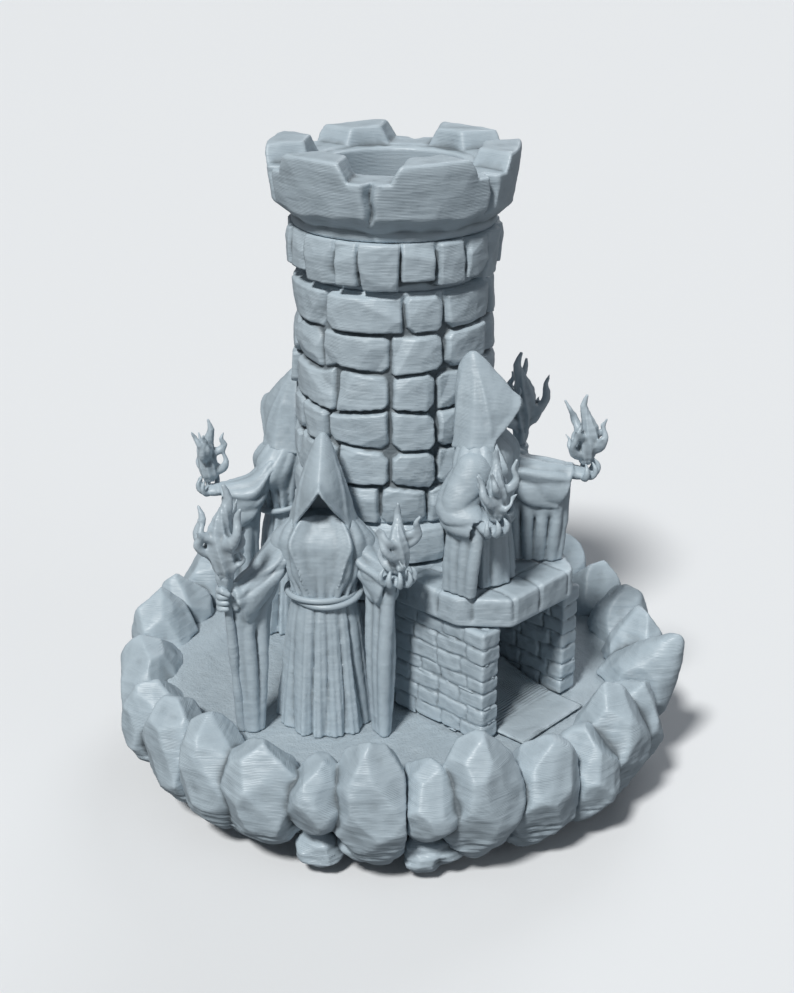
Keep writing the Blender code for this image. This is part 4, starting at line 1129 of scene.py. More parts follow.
@dataclass
class Keep:
    """The tower's shaft and corbel course (mm)."""

    foot_radius: float = 33.0
    top_radius: float = 31.0
    bore: float = 23.0
    foot_z: float = 34.3
    split_z: float = 101.0
    top_z: float = 179.0
    corbel_top: float = 195.5
    corbel_radius: float = 33.6
    courses: int = 11
    lower_courses: int = 5
    corbels: int = 20
    columns: int = 420
    row_step: float = 0.5
    gate_azimuth: float = 47.5
    passage_half: float = 17.6
    passage_low: float = 34.6
    passage_top: float = 75.7
    passage_run: tuple[float, float] = (29.0, 42.0)
    spigot: tuple[float, float] = (30.0, 30.4)
    front_joints: tuple[tuple[float, ...], ...] = (
        (-86.0, -41.0, 6.0, 30.0, 72.0),
        (-74.0, -46.0, -2.0, 28.0, 63.0),
        (-82.0, -35.0, -1.0, 25.0, 66.0),
        (-63.0, -40.0, -5.0, 24.0, 58.0),
        (-71.0, -34.0, -3.0, 26.0, 61.0),
        (-58.0, -44.0, -8.0, 20.0, 52.0),
        (-76.0, -38.0, 2.0, 31.0, 66.0),
    )

    def uprights(self, course: int, above: list[float], rng: random.Random) -> list[float]:
        """Azimuths of one course's joints, some in line with those of the course above."""
        known = course < len(self.front_joints)
        found = list(self.front_joints[course]) if known else [rng.uniform(-50.0, -30.0)]
        end = found[0] + 360.0
        while end - found[-1] > 62.0:
            found.append(found[-1] + rng.uniform(30.0, 46.0))
        if end - found[-1] > 42.0:
            found.append((found[-1] + end) / 2)
        lined = []
        for azimuth in found:
            near = [other for other in above if abs((azimuth - other + 180.0) % 360.0 - 180.0) < 5.0]
            lined.append(near[0] if near else azimuth % 360.0)
        return sorted(set(lined))

    def beds(self, low: float, high: float, joints: Sequence[list[float]], rng: random.Random) -> list:
        """Bed lines of a drum: level at its ends and uneven between."""
        lines = []
        for bed in range(len(joints) + 1):
            jitter = 1.5 if 0 < bed < len(joints) else 0.0
            places = sorted({azimuth for course in joints[max(bed - 1, 0):bed + 1] for azimuth in course})
            level = low + (high - low) * bed / len(joints)
            heights = [level + rng.uniform(-jitter, jitter) for _ in places]
            lines.append((np.array(places), np.array(heights)))
        return lines

    def drum(self, low: float, high: float, radii: tuple[float, float], stones: Masonry, beds: list,
             joints: Sequence[list[float]]) -> list[Array]:
        """Rings of a stone drum's outside, from its foot up.

        Args:
            low: height of its foot.
            high: height of its head.
            radii: radius at the foot and at the head.
            stones: how its stones are worked.
            beds: its bed lines.
            joints: azimuths of each course's joints.

        Returns:
            The rings.
        """
        z = np.linspace(low, high, int((high - low) / self.row_step) + 1)
        azimuth = np.linspace(0.0, 360.0, self.columns, endpoint=False)
        relief = stones.relief(azimuth, z, beds, joints, sum(radii) / 2)
        base = np.linspace(radii[0], radii[1], len(z))
        return [ring(base[row] + relief[row], z[row], self.columns) for row in range(len(z))]

    def lined(self, low: float, high: float) -> list[Array]:
        """Rings of the bore, from its head down."""
        return [ring(self.bore, z, self.columns) for z in np.linspace(high, low, 5)]

    def build(self, shop: Workshop) -> None:
        """Both lengths of the shaft and the corbel course."""
        rng = random.Random(7)
        joints: list[list[float]] = []
        for course in range(self.courses):
            joints.insert(0, self.uprights(course, joints[0] if joints else [], rng))
        share = (self.split_z - self.foot_z) / (self.top_z - self.foot_z)
        split = self.foot_radius + (self.top_radius - self.foot_radius) * share
        stones = Masonry(random.Random(31))
        lower, upper = joints[:self.lower_courses], joints[self.lower_courses:]
        rows = self.drum(
            self.foot_z, self.split_z, (self.foot_radius, split), stones,
            self.beds(self.foot_z, self.split_z, lower, rng), lower,
        )
        radius, bottom = self.spigot
        foot = [ring(radius, z, self.columns) for z in (bottom, self.foot_z)]
        points, faces = turned_mesh(foot + rows + self.lined(self.foot_z + GAP, self.split_z), closed=False)
        self.chiselled(shop, shop.piece("keep_lower_courses", points, faces), 12.0, "shaft_lower")
        low = self.split_z + GAP
        rows = self.drum(
            low, self.top_z, (split, self.top_radius), stones,
            self.beds(low, self.top_z, upper, rng), upper,
        )
        points, faces = turned_mesh(rows + self.lined(low, self.top_z), closed=True)
        self.chiselled(shop, shop.piece("keep_upper_courses", points, faces), 13.0, "shaft_upper")
        self.build_corbels(shop, rng)

    def build_corbels(self, shop: Workshop, rng: random.Random) -> None:
        """The ring of upright stones whose feet hang at different heights."""
        evenly = [4.0 + 360.0 * index / self.corbels for index in range(self.corbels)]
        joints = [[azimuth + rng.uniform(-5.6, 5.6) for azimuth in evenly]]
        low, high = self.top_z + GAP, self.corbel_top
        stones = Masonry(
            random.Random(5), joint=0.0, bevel=0.6, proud=2.3, sunk=0.5, corner=0.7, ragged=0.2, skew=0.08,
            foot_drop=4.8, pocket=3.0,
        )
        beds = [(np.array([0.0]), np.array([bed])) for bed in (low - 0.4, high + 0.5)]
        radii = (self.corbel_radius - 1.0, self.corbel_radius)
        rows = self.drum(low, high, radii, stones, beds, joints)
        points, faces = turned_mesh(rows + self.lined(low, high), closed=True)
        self.chiselled(shop, shop.piece("corbel_stones", points, faces), 14.0, "corbel_course")

    def chiselled(self, shop: Workshop, piece: bpy.types.Object, seed: float, node: str) -> None:
        """Open the doorway where a length has one, then chisel it and fit it."""
        if node == "shaft_lower":
            self.open_doorway(piece)
        shop.weathered(
            piece, STONE, Body.TOWER, node, Lump_Size=6.0, Lump_Depth=0.16, Chip_Size=4.2, Chip_Depth=0.20,
            Streak_Size=1.0, Streak_Depth=0.13, Grain_Depth=0.04, Bore=self.bore + 2.5, Floor=FLOOR_Z,
            Seed=seed,
        )

    def open_doorway(self, piece: bpy.types.Object) -> None:
        """Cut the square way from the bore out to the gate."""
        bm = bmesh.new()
        out, length = self.passage_run
        size = (length, 2 * self.passage_half, self.passage_top - self.passage_low)
        turn = Matrix.Rotation(math.radians(self.gate_azimuth - 90.0), 4, "Z")
        middle = Matrix.Translation((out, 0.0, (self.passage_top + self.passage_low) / 2))
        place = Matrix.Scale(MM, 4) @ turn @ middle @ Matrix.Scale(1 / MM, 4)
        bmesh.ops.create_cube(bm, size=MM, matrix=place @ Matrix.Diagonal((*size, 1.0)))
        mesh = bpy.data.meshes.new("doorway")
        bm.to_mesh(mesh)
        bm.free()
        cutter = bpy.data.objects.new("doorway", mesh)
        bpy.context.scene.collection.objects.link(cutter)
        modifier = piece.modifiers.new("doorway", "BOOLEAN")
        modifier.operation = "DIFFERENCE"
        modifier.solver = "MANIFOLD"
        modifier.object = cutter
        bpy.context.view_layer.update()
        made = bpy.data.meshes.new_from_object(piece.evaluated_get(bpy.context.evaluated_depsgraph_get()))
        piece.modifiers.remove(modifier)
        bpy.data.objects.remove(cutter)
        piece.data = made


@dataclass
class Crown:
    """The battlement: six blocks, each with a merlon, and the mouth that dice go in at (mm)."""

    radius: float = 42.0
    bore: float = 23.0
    foot: float = 195.8
    neck: float = 33.4
    neck_top: float = 199.6
    flare: float = 33.8
    flare_foot: float = 199.2
    well: float = 27.0
    lip: float = 218.0
    sill: float = 214.5
    top: float = 221.0
    merlons: int = 6
    first_gap: float = -10.7
    step: float = 0.57

    def body(self, x: Array, y: Array, z: Array) -> Array:
        """The turned ring, a little flattened on each block, with a wavy undercut below."""
        radius = np.sqrt(x * x + y * y)
        turn = np.degrees(np.arctan2(x, -y))
        sector = 360.0 / self.merlons
        off = (turn - self.first_gap) % sector - sector / 2
        flat = 1.5 * (1.0 - (off / (sector / 2)) ** 2)
        reach = self.radius - flat - 0.13 * np.clip(self.lip - z, 0.0, 14.0)
        wave = 0.35 * np.sin(np.radians(turn) * 9.0) + 0.2 * np.sin(np.radians(turn) * 17.0 + 1.0)
        under = (radius - self.flare - (z - self.flare_foot - wave) * 1.15) * 0.66
        neck = np.where(z < self.neck_top + wave, np.minimum(radius - self.neck, under), under)
        shell = smooth_max(radius - reach, neck, 0.5)
        head = smooth_max(shell, z - self.top + 0.35 * np.sin(np.radians(turn) * 5.0 + 2.0) + 0.2, 1.2)
        head = np.maximum(head, self.foot - z)
        head = np.maximum(head, self.bore - radius)
        well = np.maximum(self.sill - z, radius - self.well - (z - self.sill) * 0.25)
        return smooth_max(head, -well, 0.8)

    def gap(self, azimuth: float) -> Field:
        """The splayed way between two merlons, and the crack below it, as what is cut away."""
        out = polar(1.0, azimuth)
        aside = polar(1.0, azimuth + 90.0)

        def distance(x: Array, y: Array, z: Array) -> Array:
            """Distance to the nearer of the splay and the crack."""
            along = x * out.x + y * out.y
            across = np.abs(x * aside.x + y * aside.y)
            splay = np.maximum(self.sill + 0.6 - z, (across - 6.4 - (z - self.sill) * 0.52) * 0.88)
            drift = x * aside.x + y * aside.y - 0.3 * np.sin(z * 0.7 + azimuth)
            crack = (np.abs(drift) - 1.4 * (along - 36.6) / 2.6) * 0.85
            return np.maximum(np.minimum(splay, crack), 20.0 - along)

        return distance

    def build(self, shop: Workshop) -> None:
        """The whole crown."""
        reach = self.radius + 1.13
        clay = Clay((-reach, -reach, self.foot - 0.6), (reach, reach, self.top + 1.0), self.step)
        clay.field = self.body(*clay.every()).astype(np.float32)
        for index in range(self.merlons):
            azimuth = self.first_gap + 360.0 / self.merlons * index
            out, aside = polar(34.0, azimuth), polar(13.0, azimuth + 90.0)
            low, high = box_round((out + aside, out - aside), 12.0)
            clay.cut(Solid(self.gap(azimuth), (*low[:2], self.foot), (*high[:2], self.top + 2.0)), 0.8)
        crown = shop.piece("crown_battlement", *clay.skin())
        shop.weathered(
            crown, STONE, Body.TOWER, "crown", Lump_Size=10.0, Lump_Depth=0.30, Chip_Size=7.0,
            Chip_Depth=0.28, Streak_Size=1.0, Streak_Depth=0.15, Grain_Depth=0.04, Bore=self.bore + 1.0,
            Floor=196.2, Seed=21.0,
        )


@dataclass
class Gate:
    """The square gate, its slab, the ramp between its walls and the plates in the bore (mm)."""

    keep: Keep
    front: float = 62.0
    wall: float = 7.6
    foot: float = 34.6
    head: float = 75.4
    slab_low: float = 76.0
    slab_top: float = 86.3
    ramp_half: float = 17.0
    ramp_toe: float = 73.0
    ramp_bend: float = 61.0
    ramp_low: float = 36.0
    ramp_sole: float = 34.9
    ramp_step: float = 0.95
    inmost: float = 14.0
    flag_rows: tuple[float, ...] = (44.0, 56.0)
    flag_columns: tuple[float, ...] = (-16.0, -3.0, 11.0)
    flag_size: tuple[float, float] = (12.0, 13.5)
    clear_radius: float = 34.0
    clear_taper: float = 2.0
    clear_rise: float = 145.0
    rows: int = 7
    step: float = 0.5
    outline: tuple[tuple[float, float], ...] = (
        (16.0, -28.2), (53.0, -28.2), (67.0, -17.0), (67.8, 14.0), (55.0, 24.5), (16.0, 24.5),
    )

    @property
    def place(self) -> Matrix:
        """Turns a frame whose +X leaves the tower through the gate."""
        return Matrix.Rotation(math.radians(self.keep.gate_azimuth - 90.0), 4, "Z")

    def clear(self, x: Array, y: Array, z: Array) -> Array:
        """What lies outside the shaft's stones."""
        narrowed = self.clear_taper * (z - FLOOR_Z) / self.clear_rise
        return self.clear_radius - narrowed - np.sqrt(x * x + y * y)

    def build(self, shop: Workshop) -> None:
        """Walls, slab and ramp, and the finish of the plates that stay as they are in the frame."""
        rng = random.Random(23)
        self.build_wall(shop, rng, -1, "left")
        self.build_wall(shop, rng, 1, "right")
        self.build_slab(shop)
        self.build_ramp(shop)
        for name in ("lower", "middle", "upper"):
            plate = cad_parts[f"baffle_{name}"]
            plate.data.materials.clear()
            plate.data.materials.append(SAND.material())
            LOG.info("baffle_%s: kept from the frame", name)

    def build_wall(self, shop: Workshop, rng: random.Random, side: int, name: str) -> None:
        """One wall of rough bricks, a course at a time, with a quoin at its end."""
        inner, outer = self.keep.passage_half - 0.35, self.keep.passage_half + self.wall + 0.5
        ends = sorted((side * inner, side * outer))
        low = (self.inmost, ends[0] - 1.5, self.foot - 0.6)
        clay = Clay(low, (self.front + 2.5, ends[1] + 1.5, self.head + 0.6), self.step)
        clay.add(block((10.0, ends[0], self.foot), (self.front + 0.5, ends[1], self.head), 0.8))
        x, y, z = clay.every()
        rise = (self.head - self.foot) / self.rows
        between = [self.foot + rise * row + rng.uniform(-0.5, 0.5) for row in range(1, self.rows)]
        beds = [self.foot, *between, self.head]
        groove = np.zeros_like(clay.field)
        for row in range(self.rows):
            low, high = beds[row], beds[row + 1]
            sway = 0.25 * np.sin(x * 0.35 + row) + 0.2 * np.sin(y * 0.8 + 2.0 * row)
            inside = (z + sway >= low) & (z + sway < high)
            place = self.front + 3.0
            cuts = []
            while place > 20.0:
                place -= rng.uniform(8.0, 10.5) if (row + len(cuts)) % 2 else rng.uniform(11.0, 13.5)
                cuts.append(place)
            nearest = np.minimum.reduce([np.abs(x - cut - 0.2 * np.sin(z * 1.3)) for cut in cuts])
            gap = smooth_min(nearest, np.minimum(z + sway - low, high - z - sway), 0.8)
            push = np.zeros_like(x)
            for first, last in zip([self.front + 3.0] + cuts, cuts):
                push = np.where((x <= first) & (x > last), rng.uniform(-0.30, 0.25), push)
            dip = 0.8 * np.clip(1.0 - gap / 0.9, 0.0, 1.0) ** 1.3 - push
            groove = np.where(inside, dip, groove)
        clay.field += groove.astype(np.float32)
        clay.keep(self.clear)
        clay.keep(lambda x, y, z: np.maximum(self.foot - z, z - self.head))
        wall = shop.piece(f"gate_{name}_bricks", *clay.skin(), place=self.place)
        shop.weathered(
            wall, STONE, Body.TOWER, f"gate_wall_{name}", Lump_Size=4.0, Lump_Depth=0.20, Chip_Size=3.2,
            Chip_Depth=0.22, Streak_Size=0.9, Streak_Depth=0.08, Grain_Depth=0.04, Floor=35.0, Ceiling=75.2,
            Seed=30.0 + side,
        )

    def build_slab(self, shop: Workshop) -> None:
        """The flagged slab over the walls, with wandering joints between its flags."""
        clay = Clay((self.inmost, -30.0, self.slab_low - 0.6), (70.0, 26.5, self.slab_top + 1.2), self.step)
        x, y, z = clay.every()
        shape = np.maximum(self.slab_low - z, z - self.slab_top)
        for (ax, ay), (bx, by) in zip(self.outline, self.outline[1:] + self.outline[:1]):
            wall = ((x - ax) * (by - ay) - (y - ay) * (bx - ax)) / math.hypot(bx - ax, by - ay)
            shape = smooth_max(shape, wall, 1.4)
        joints = [np.abs(x - place - 0.5 * np.sin(y * 0.4 + place)) for place in self.flag_rows]
        for place in self.flag_columns:
            joints.append(np.abs(y - place - 0.5 * np.sin(x * 0.3 + place) - 0.8 * np.sign(x - 50.0)))
        gap = np.minimum.reduce(np.broadcast_arrays(*joints))
        dip = 0.95 * np.clip(1.0 - gap / 1.6, 0.0, 1.0) ** 1.5
        length, width = self.flag_size
        column = np.floor((y - self.flag_columns[0]) / width)
        tile = column * 3.0 + np.floor((x - self.flag_rows[0]) / length)
        push = 0.28 * np.sin(tile * 2.4 + 0.7)
        clay.field = (shape + (dip + push) * np.clip((z - 77.0) / 2.0, 0.0, 1.0)).astype(np.float32)
        clay.keep(self.clear)
        slab = shop.piece("gate_flagged_slab", *clay.skin(), place=self.place)
        shop.weathered(
            slab, STONE, Body.TOWER, "gate_slab", Lump_Size=5.0, Lump_Depth=0.22, Chip_Size=4.0,
            Chip_Depth=0.18, Streak_Size=0.9, Streak_Depth=0.05, Grain_Depth=0.04, Floor=76.4, Seed=33.0,
        )

    def ramp_top(self, x: Array) -> Array:
        """Height of the ramp at a distance out from the tower's axis."""
        run = np.maximum(self.ramp_bend - x, 0.0)
        fall = np.clip((x - self.ramp_bend) / 12.0, 0.0, 1.0)
        return self.ramp_low + 0.0262 * run ** 1.69 - 0.3 * fall

    def build_ramp(self, shop: Workshop) -> None:
        """The chute from the bore to the tray's floor."""
        clay = Clay((-24.0, -18.0, 34.3), (74.0, 18.0, 84.0), self.ramp_step)
        x, y, z = clay.every()
        slope = np.gradient(self.ramp_top(x[:, 0, 0]), clay.step)[:, None, None]
        top = (z - self.ramp_top(x)) / np.sqrt(1.0 + slope ** 2)
        room = np.minimum(np.sqrt(x * x + y * y) - self.keep.bore + 0.4, -x)
        side = np.maximum(np.abs(y) - self.ramp_half, x - self.ramp_toe)
        shape = smooth_max(top, np.maximum(side, room), 0.6)
        clay.field = np.maximum(shape, self.ramp_sole - z).astype(np.float32)
        ramp = shop.piece("exit_ramp_chute", *clay.skin(), place=self.place)
        shop.weathered(
            ramp, RAMP, Body.TOWER, "exit_ramp", Lump_Size=14.0, Lump_Depth=0.10, Chip_Depth=0.0,
            Streak_Depth=0.0, Grain_Depth=0.03, Floor=35.2, Seed=40.0,
        )


def smooth_profile(z: Array, rows: Sequence[Sequence[float]]) -> list[Array]:
    """Smooth values of a profile.

    Args:
        z: heights to read it at.
        rows: a height and its values on each row, lowest first.

    Returns:
        One array for each value.
    """
    table = np.array(rows, dtype=np.float64)
    knots = table[:, 0]
    at = np.clip(z, knots[0], knots[-1])
    span = np.clip(np.searchsorted(knots, at, side="right") - 1, 0, len(knots) - 2)
    width = knots[span + 1] - knots[span]
    t = (at - knots[span]) / width
    found = []
    for values in table[:, 1:].T:
        slopes = np.gradient(values, knots)
        found.append((
            (2 * t ** 3 - 3 * t ** 2 + 1) * values[span]
            + (t ** 3 - 2 * t ** 2 + t) * width * slopes[span]
            + (3 * t ** 2 - 2 * t ** 3) * values[span + 1]
            + (t ** 3 - t ** 2) * width * slopes[span + 1]
        ).astype(np.float32))
    return found


@dataclass(frozen=True)
class Drape:
    """Cloth that hangs from a sleeve in upright folds: where it hangs and how it is folded (mm)."""

    path: tuple[Vector, Vector, Vector]
    toe: Vector
    reach: Vector
    spread: float
    radii: tuple[float, float]
    folds: int
    span: tuple[float, float] = (0.38, 0.98)
    wave: float = 1.1

    def hang(self, clay: Clay) -> None:
        """Add the folds to an arm."""
        aside = Vector((-self.reach.y, self.reach.x, 0.0))
        head, foot = self.radii
        for index in range(self.folds):
            share = index / (self.folds - 1)
            along = self.span[0] + (self.span[1] - self.span[0]) * share
            top = through(self.path, along) - UP * 2.0
            side = aside * (self.wave if index % 2 else -self.wave)
            end = self.toe + self.reach * (self.spread * (2.0 * share - 1.0)) + side * 0.6
            middle = top.lerp(end, 0.5) + side + self.reach * (0.8 * (share - 0.5))
            clay.add(limb((top, middle, end), (head, 0.95 * head, foot), 10), 0.9)


@dataclass(frozen=True)
class Bell:
    """A bell sleeve: its arm's path, its section at shares of the way to the wrist, and its folds (mm)."""

    path: tuple[Vector, Vector, Vector]
    reach: Vector
    phase: float = 0.0
    folds: float = 7.0
    fold_depth: float = 1.2
    slant: float = 0.42
    rows: tuple[tuple[float, ...], ...] = (
        (0.0, 5.4, 4.2, 6.0), (0.3, 6.2, 5.0, 10.5), (0.65, 6.0, 5.0, 14.5), (1.0, 5.0, 4.4, 13.0),
    )

    def solid(self, shrink: float = 0.0, start: float = -3.0, beyond: float = 0.5) -> Solid:
        """The sleeve, or the room inside it.

        Args:
            shrink: how far the skin is drawn in.
            start: how far along the arm it starts.
            beyond: how far past the wrist its top edge reaches.

        Returns:
            The solid; its cuff slants back below the wrist.
        """
        aside = Vector((-self.reach.y, self.reach.x, 0.0))
        first = self.path[0]
        spots = [through(self.path, step / 24) - first for step in range(25)]
        run = np.maximum.accumulate([spot.dot(self.reach) for spot in spots]) + np.arange(25) * 1e-4
        off, level = [spot.dot(aside) for spot in spots], [spot.z + first.z for spot in spots]

        def distance(x: Array, y: Array, z: Array) -> Array:
            """Distance in upright sections across the arm."""
            dx, dy = x - first.x, y - first.y
            along = dx * self.reach.x + dy * self.reach.y
            share = np.interp(along, run, np.linspace(0.0, 1.0, 25))
            width, rise, fall = smooth_profile(share, self.rows)
            middle = np.interp(along, run, level)
            u = (dx * aside.x + dy * aside.y - np.interp(along, run, off)) / width
            lift = z - middle
            w = lift / np.where(lift > 0.0, rise, fall)
            turn = np.arctan2(w, u)
            fold = np.abs(np.sin(0.5 * self.folds * turn + self.phase + 0.5 * np.sin(5.0 * share + turn)))
            skin = (np.sqrt(u * u + w * w) - 1.0) * np.minimum(width, rise) + shrink
            skin = skin - self.fold_depth * (0.4 + 1.2 * share * (1.0 - share)) * (fold - 0.65)
            cuff = (along - run[-1] - beyond + self.slant * np.maximum(-lift, 0.0)) * 0.92
            return smooth_max(skin, np.maximum(cuff, start - along), 0.6)

        reach = [max(row[i] for row in self.rows) + 2.0 for i in (1, 2, 3)]
        low = [min(spot[i] for spot in spots) + first[i] - reach[0] for i in (0, 1)]
        high = [max(spot[i] for spot in spots) + first[i] + reach[0] for i in (0, 1)]
        return Solid(distance, (*low, min(level) - reach[2]), (*high, max(level) + reach[1]))


@dataclass(frozen=True)
class Flame:
    """A flame of several curling tongues (mm)."""

    height: float
    seed: int
    step: float = 0.36

    def tongues(self) -> list[tuple[list[Vector], list[float]]]:
        """Paths and radii of the body and of the tongues that curl from it, for a flame of height one."""
        rng = random.Random(self.seed)
        body = [(0, 0, 0), (0.01, -0.01, 0.14), (-0.02, 0.0, 0.34), (-0.03, 0.01, 0.52),
                (0.03, 0.0, 0.70), (0.075, 0.0, 0.85), (0.03, 0.0, 1.0)]
        made = [([Vector(point) for point in body], [0.08, 0.145, 0.16, 0.125, 0.082, 0.055, 0.024])]
        for index in range(9):
            angle = index * 2.2 + 0.5 + rng.uniform(-0.25, 0.25) * (index > 2)
            out = Vector((math.cos(angle), math.sin(angle), 0.0))
            aside = Vector((-out.y, out.x, 0.0)) * rng.uniform(-0.07, 0.07)
            size = 1.0 if index < 3 else rng.uniform(0.45, 0.9)
            low = 0.14 + 0.13 * index if index < 3 else rng.uniform(0.04, 0.55)
            steps = ((0.09, 0.0), (0.21, 0.05), (0.275, 0.17), (0.235, 0.31), (0.28, 0.43))
            path = [
                out * (0.06 + (reach - 0.06) * (0.55 + 0.45 * size)) + aside * share
                + UP * (low + rise * size)
                for share, (reach, rise) in enumerate(steps)
            ]
            thin = 0.5 + 0.5 * size
            made.append((path, [radius * thin for radius in (0.095, 0.078, 0.060, 0.044, 0.024)]))
        return made

    def mesh(self) -> tuple[Array, Array]:
        """The flame's skin, in its own frame."""
        reach = 0.34 * self.height
        clay = Clay((-reach, -reach, -0.08 * self.height), (reach, reach, 1.04 * self.height), self.step)
        for path, radii in self.tongues():
            spots, sizes = ([part * self.height for part in row] for row in (path, radii))
            clay.add(limb(spots, sizes, 12), 0.035 * self.height)
        x, y, z = clay.every()
        turn = np.arctan2(y, x) * 4.0 + z / self.height * 6.0
        groove = 0.026 * self.height * np.abs(np.sin(turn)) * np.clip(1.2 - z / self.height, 0.0, 1.0)
        clay.field += groove.astype(np.float32)
        clay.stand(-0.02 * self.height)
        return clay.skin()


@dataclass
class Arm:
    """One arm of a figure: which side, where the hand is and what it does."""

    side: Side
    hand: tuple[float, float, float]
    grip: Grip = Grip.OPEN
    back: float = 0.0
    drape: tuple[float, float] = (2.2, 4.0)
    folds: int = 5
    radii: tuple[float, float] = (2.3, 1.8)
    steep: float = 10.0

    @property
    def sign(self) -> int:
        """The side as a sign along X."""
        return self.side.value

    def joints(self) -> tuple[Vector, Vector, Vector]:
        """Shoulder, elbow and wrist."""
        hand = Vector(self.hand)
        shoulder = Vector((self.sign * 12.0, 0.5, 66.5))
        elbow = (shoulder + hand) / 2 + Vector((self.sign * -0.5, 3.0 + self.back, -3.5))
        wrist = hand + (elbow - hand).normalized() * 4.4 - UP * 1.8
        return shoulder, elbow, wrist

    def clay(self, start: float, step: float) -> Clay:
        """The sleeve, the cloth that hangs from it and the hand.

        Args:
            start: height of the ground that the drape hangs to.
            step: the voxel's size.

        Returns:
            The sculpted arm in the figure's frame.
        """
        path = self.joints()
        shoulder, elbow, wrist = path
        hand = Vector(self.hand)
        ground = start + GAP
        low, high = box_round((*path, hand), 13.0)
        clay = Clay((*low[:2], ground), (*high[:2], max(hand.z + 9.0, 76.0)), step)
        reach = levelled(wrist - shoulder)
        ahead = (wrist - elbow).normalized()
        bell = Bell(path, reach, 0.9 * self.sign)
        run = (wrist - shoulder).dot(reach)
        if run < self.steep:
            clay.add(limb(path, (6.0, 6.8, 5.0), 14, 0.2))
        else:
            clay.add(bell.solid(beyond=2.2))
        self.crease(clay)
        clay.cut(bell.solid(1.3, max(run - 2.5, 0.8 * run), 8.0), 0.4)
        spread, before = self.drape
        top = elbow.lerp(wrist, 0.3)
        toe = Vector((top.x + self.sign * 0.5, top.y - before, ground))
        along = levelled(wrist - elbow)
        Drape(path, toe, along, spread, self.radii, self.folds).hang(clay)
        clay.add(limb((wrist - ahead * 6.0, hand - ahead * 1.5), (2.6, 2.0), 3))
        if self.grip is Grip.STAFF:
            self.fist(clay, hand, levelled(wrist - hand))
        else:
            self.open_hand(clay, hand)
        clay.stand(ground)
        return clay

    def crease(self, clay: Clay) -> None:
        """Wrinkle the sleeve across the arm."""
        x, y, z = clay.every()
        slope = 0.42 * z + 0.30 * self.sign * x + 1.3 * np.sin(0.16 * y + 0.23 * z)
        clay.field -= (0.6 * (np.abs(np.sin(slope)) - 0.6)).astype(np.float32)

    @staticmethod
    def fist(clay: Clay, hand: Vector, back: Vector) -> None:
        """Four fingers and a thumb wrapped about a staff, from the back of the hand."""
        clay.add(ellipsoid(hand + back * 2.6, (2.6, 2.6, 4.4)), 1.0)
        start = math.atan2(back.y, back.x)
        wrap, pitch = 2.7, 2.15
        for index in range(4):
            z = hand.z + (index - 1.5) * pitch
            path = []
            for turn in (-0.5, 0.7, 1.9, 3.1, 4.0):
                x = hand.x + wrap * math.cos(start + turn)
                path.append(Vector((x, hand.y + wrap * math.sin(start + turn), z + 0.25 * turn)))
            clay.add(limb(path, (1.2, 1.2, 1.15, 1.05, 0.8), 10), 0.25)
        thumb = [
            hand + back * 2.4 + UP * 3.6, hand + Vector((-1.2, -2.6, 4.6)),
            hand + Vector((1.0, -3.2, 3.4)),
        ]
        clay.add(limb(thumb, (1.3, 1.1, 0.8), 6), 0.4)

    def open_hand(self, clay: Clay, hand: Vector) -> None:
        """A hand held palm up, its fingers curled like claws about the fire."""
        clay.add(ellipsoid(hand, (3.4, 3.8, 2.0)), 1.2)
        for index in range(5):
            angle = math.radians(-90.0 + self.sign * (index - 1.6) * 36.0)
            out = Vector((math.cos(angle), math.sin(angle), 0.0))
            path = [
                hand + out * 2.0, hand + out * 4.2 - UP * 0.5, hand + out * 5.7 + UP,
                hand + out * 5.8 + UP * 3.0, hand + out * 4.6 + UP * 4.8,
            ]
            clay.add(limb(path, (1.1, 1.05, 0.95, 0.8, 0.35), 10), 0.4)


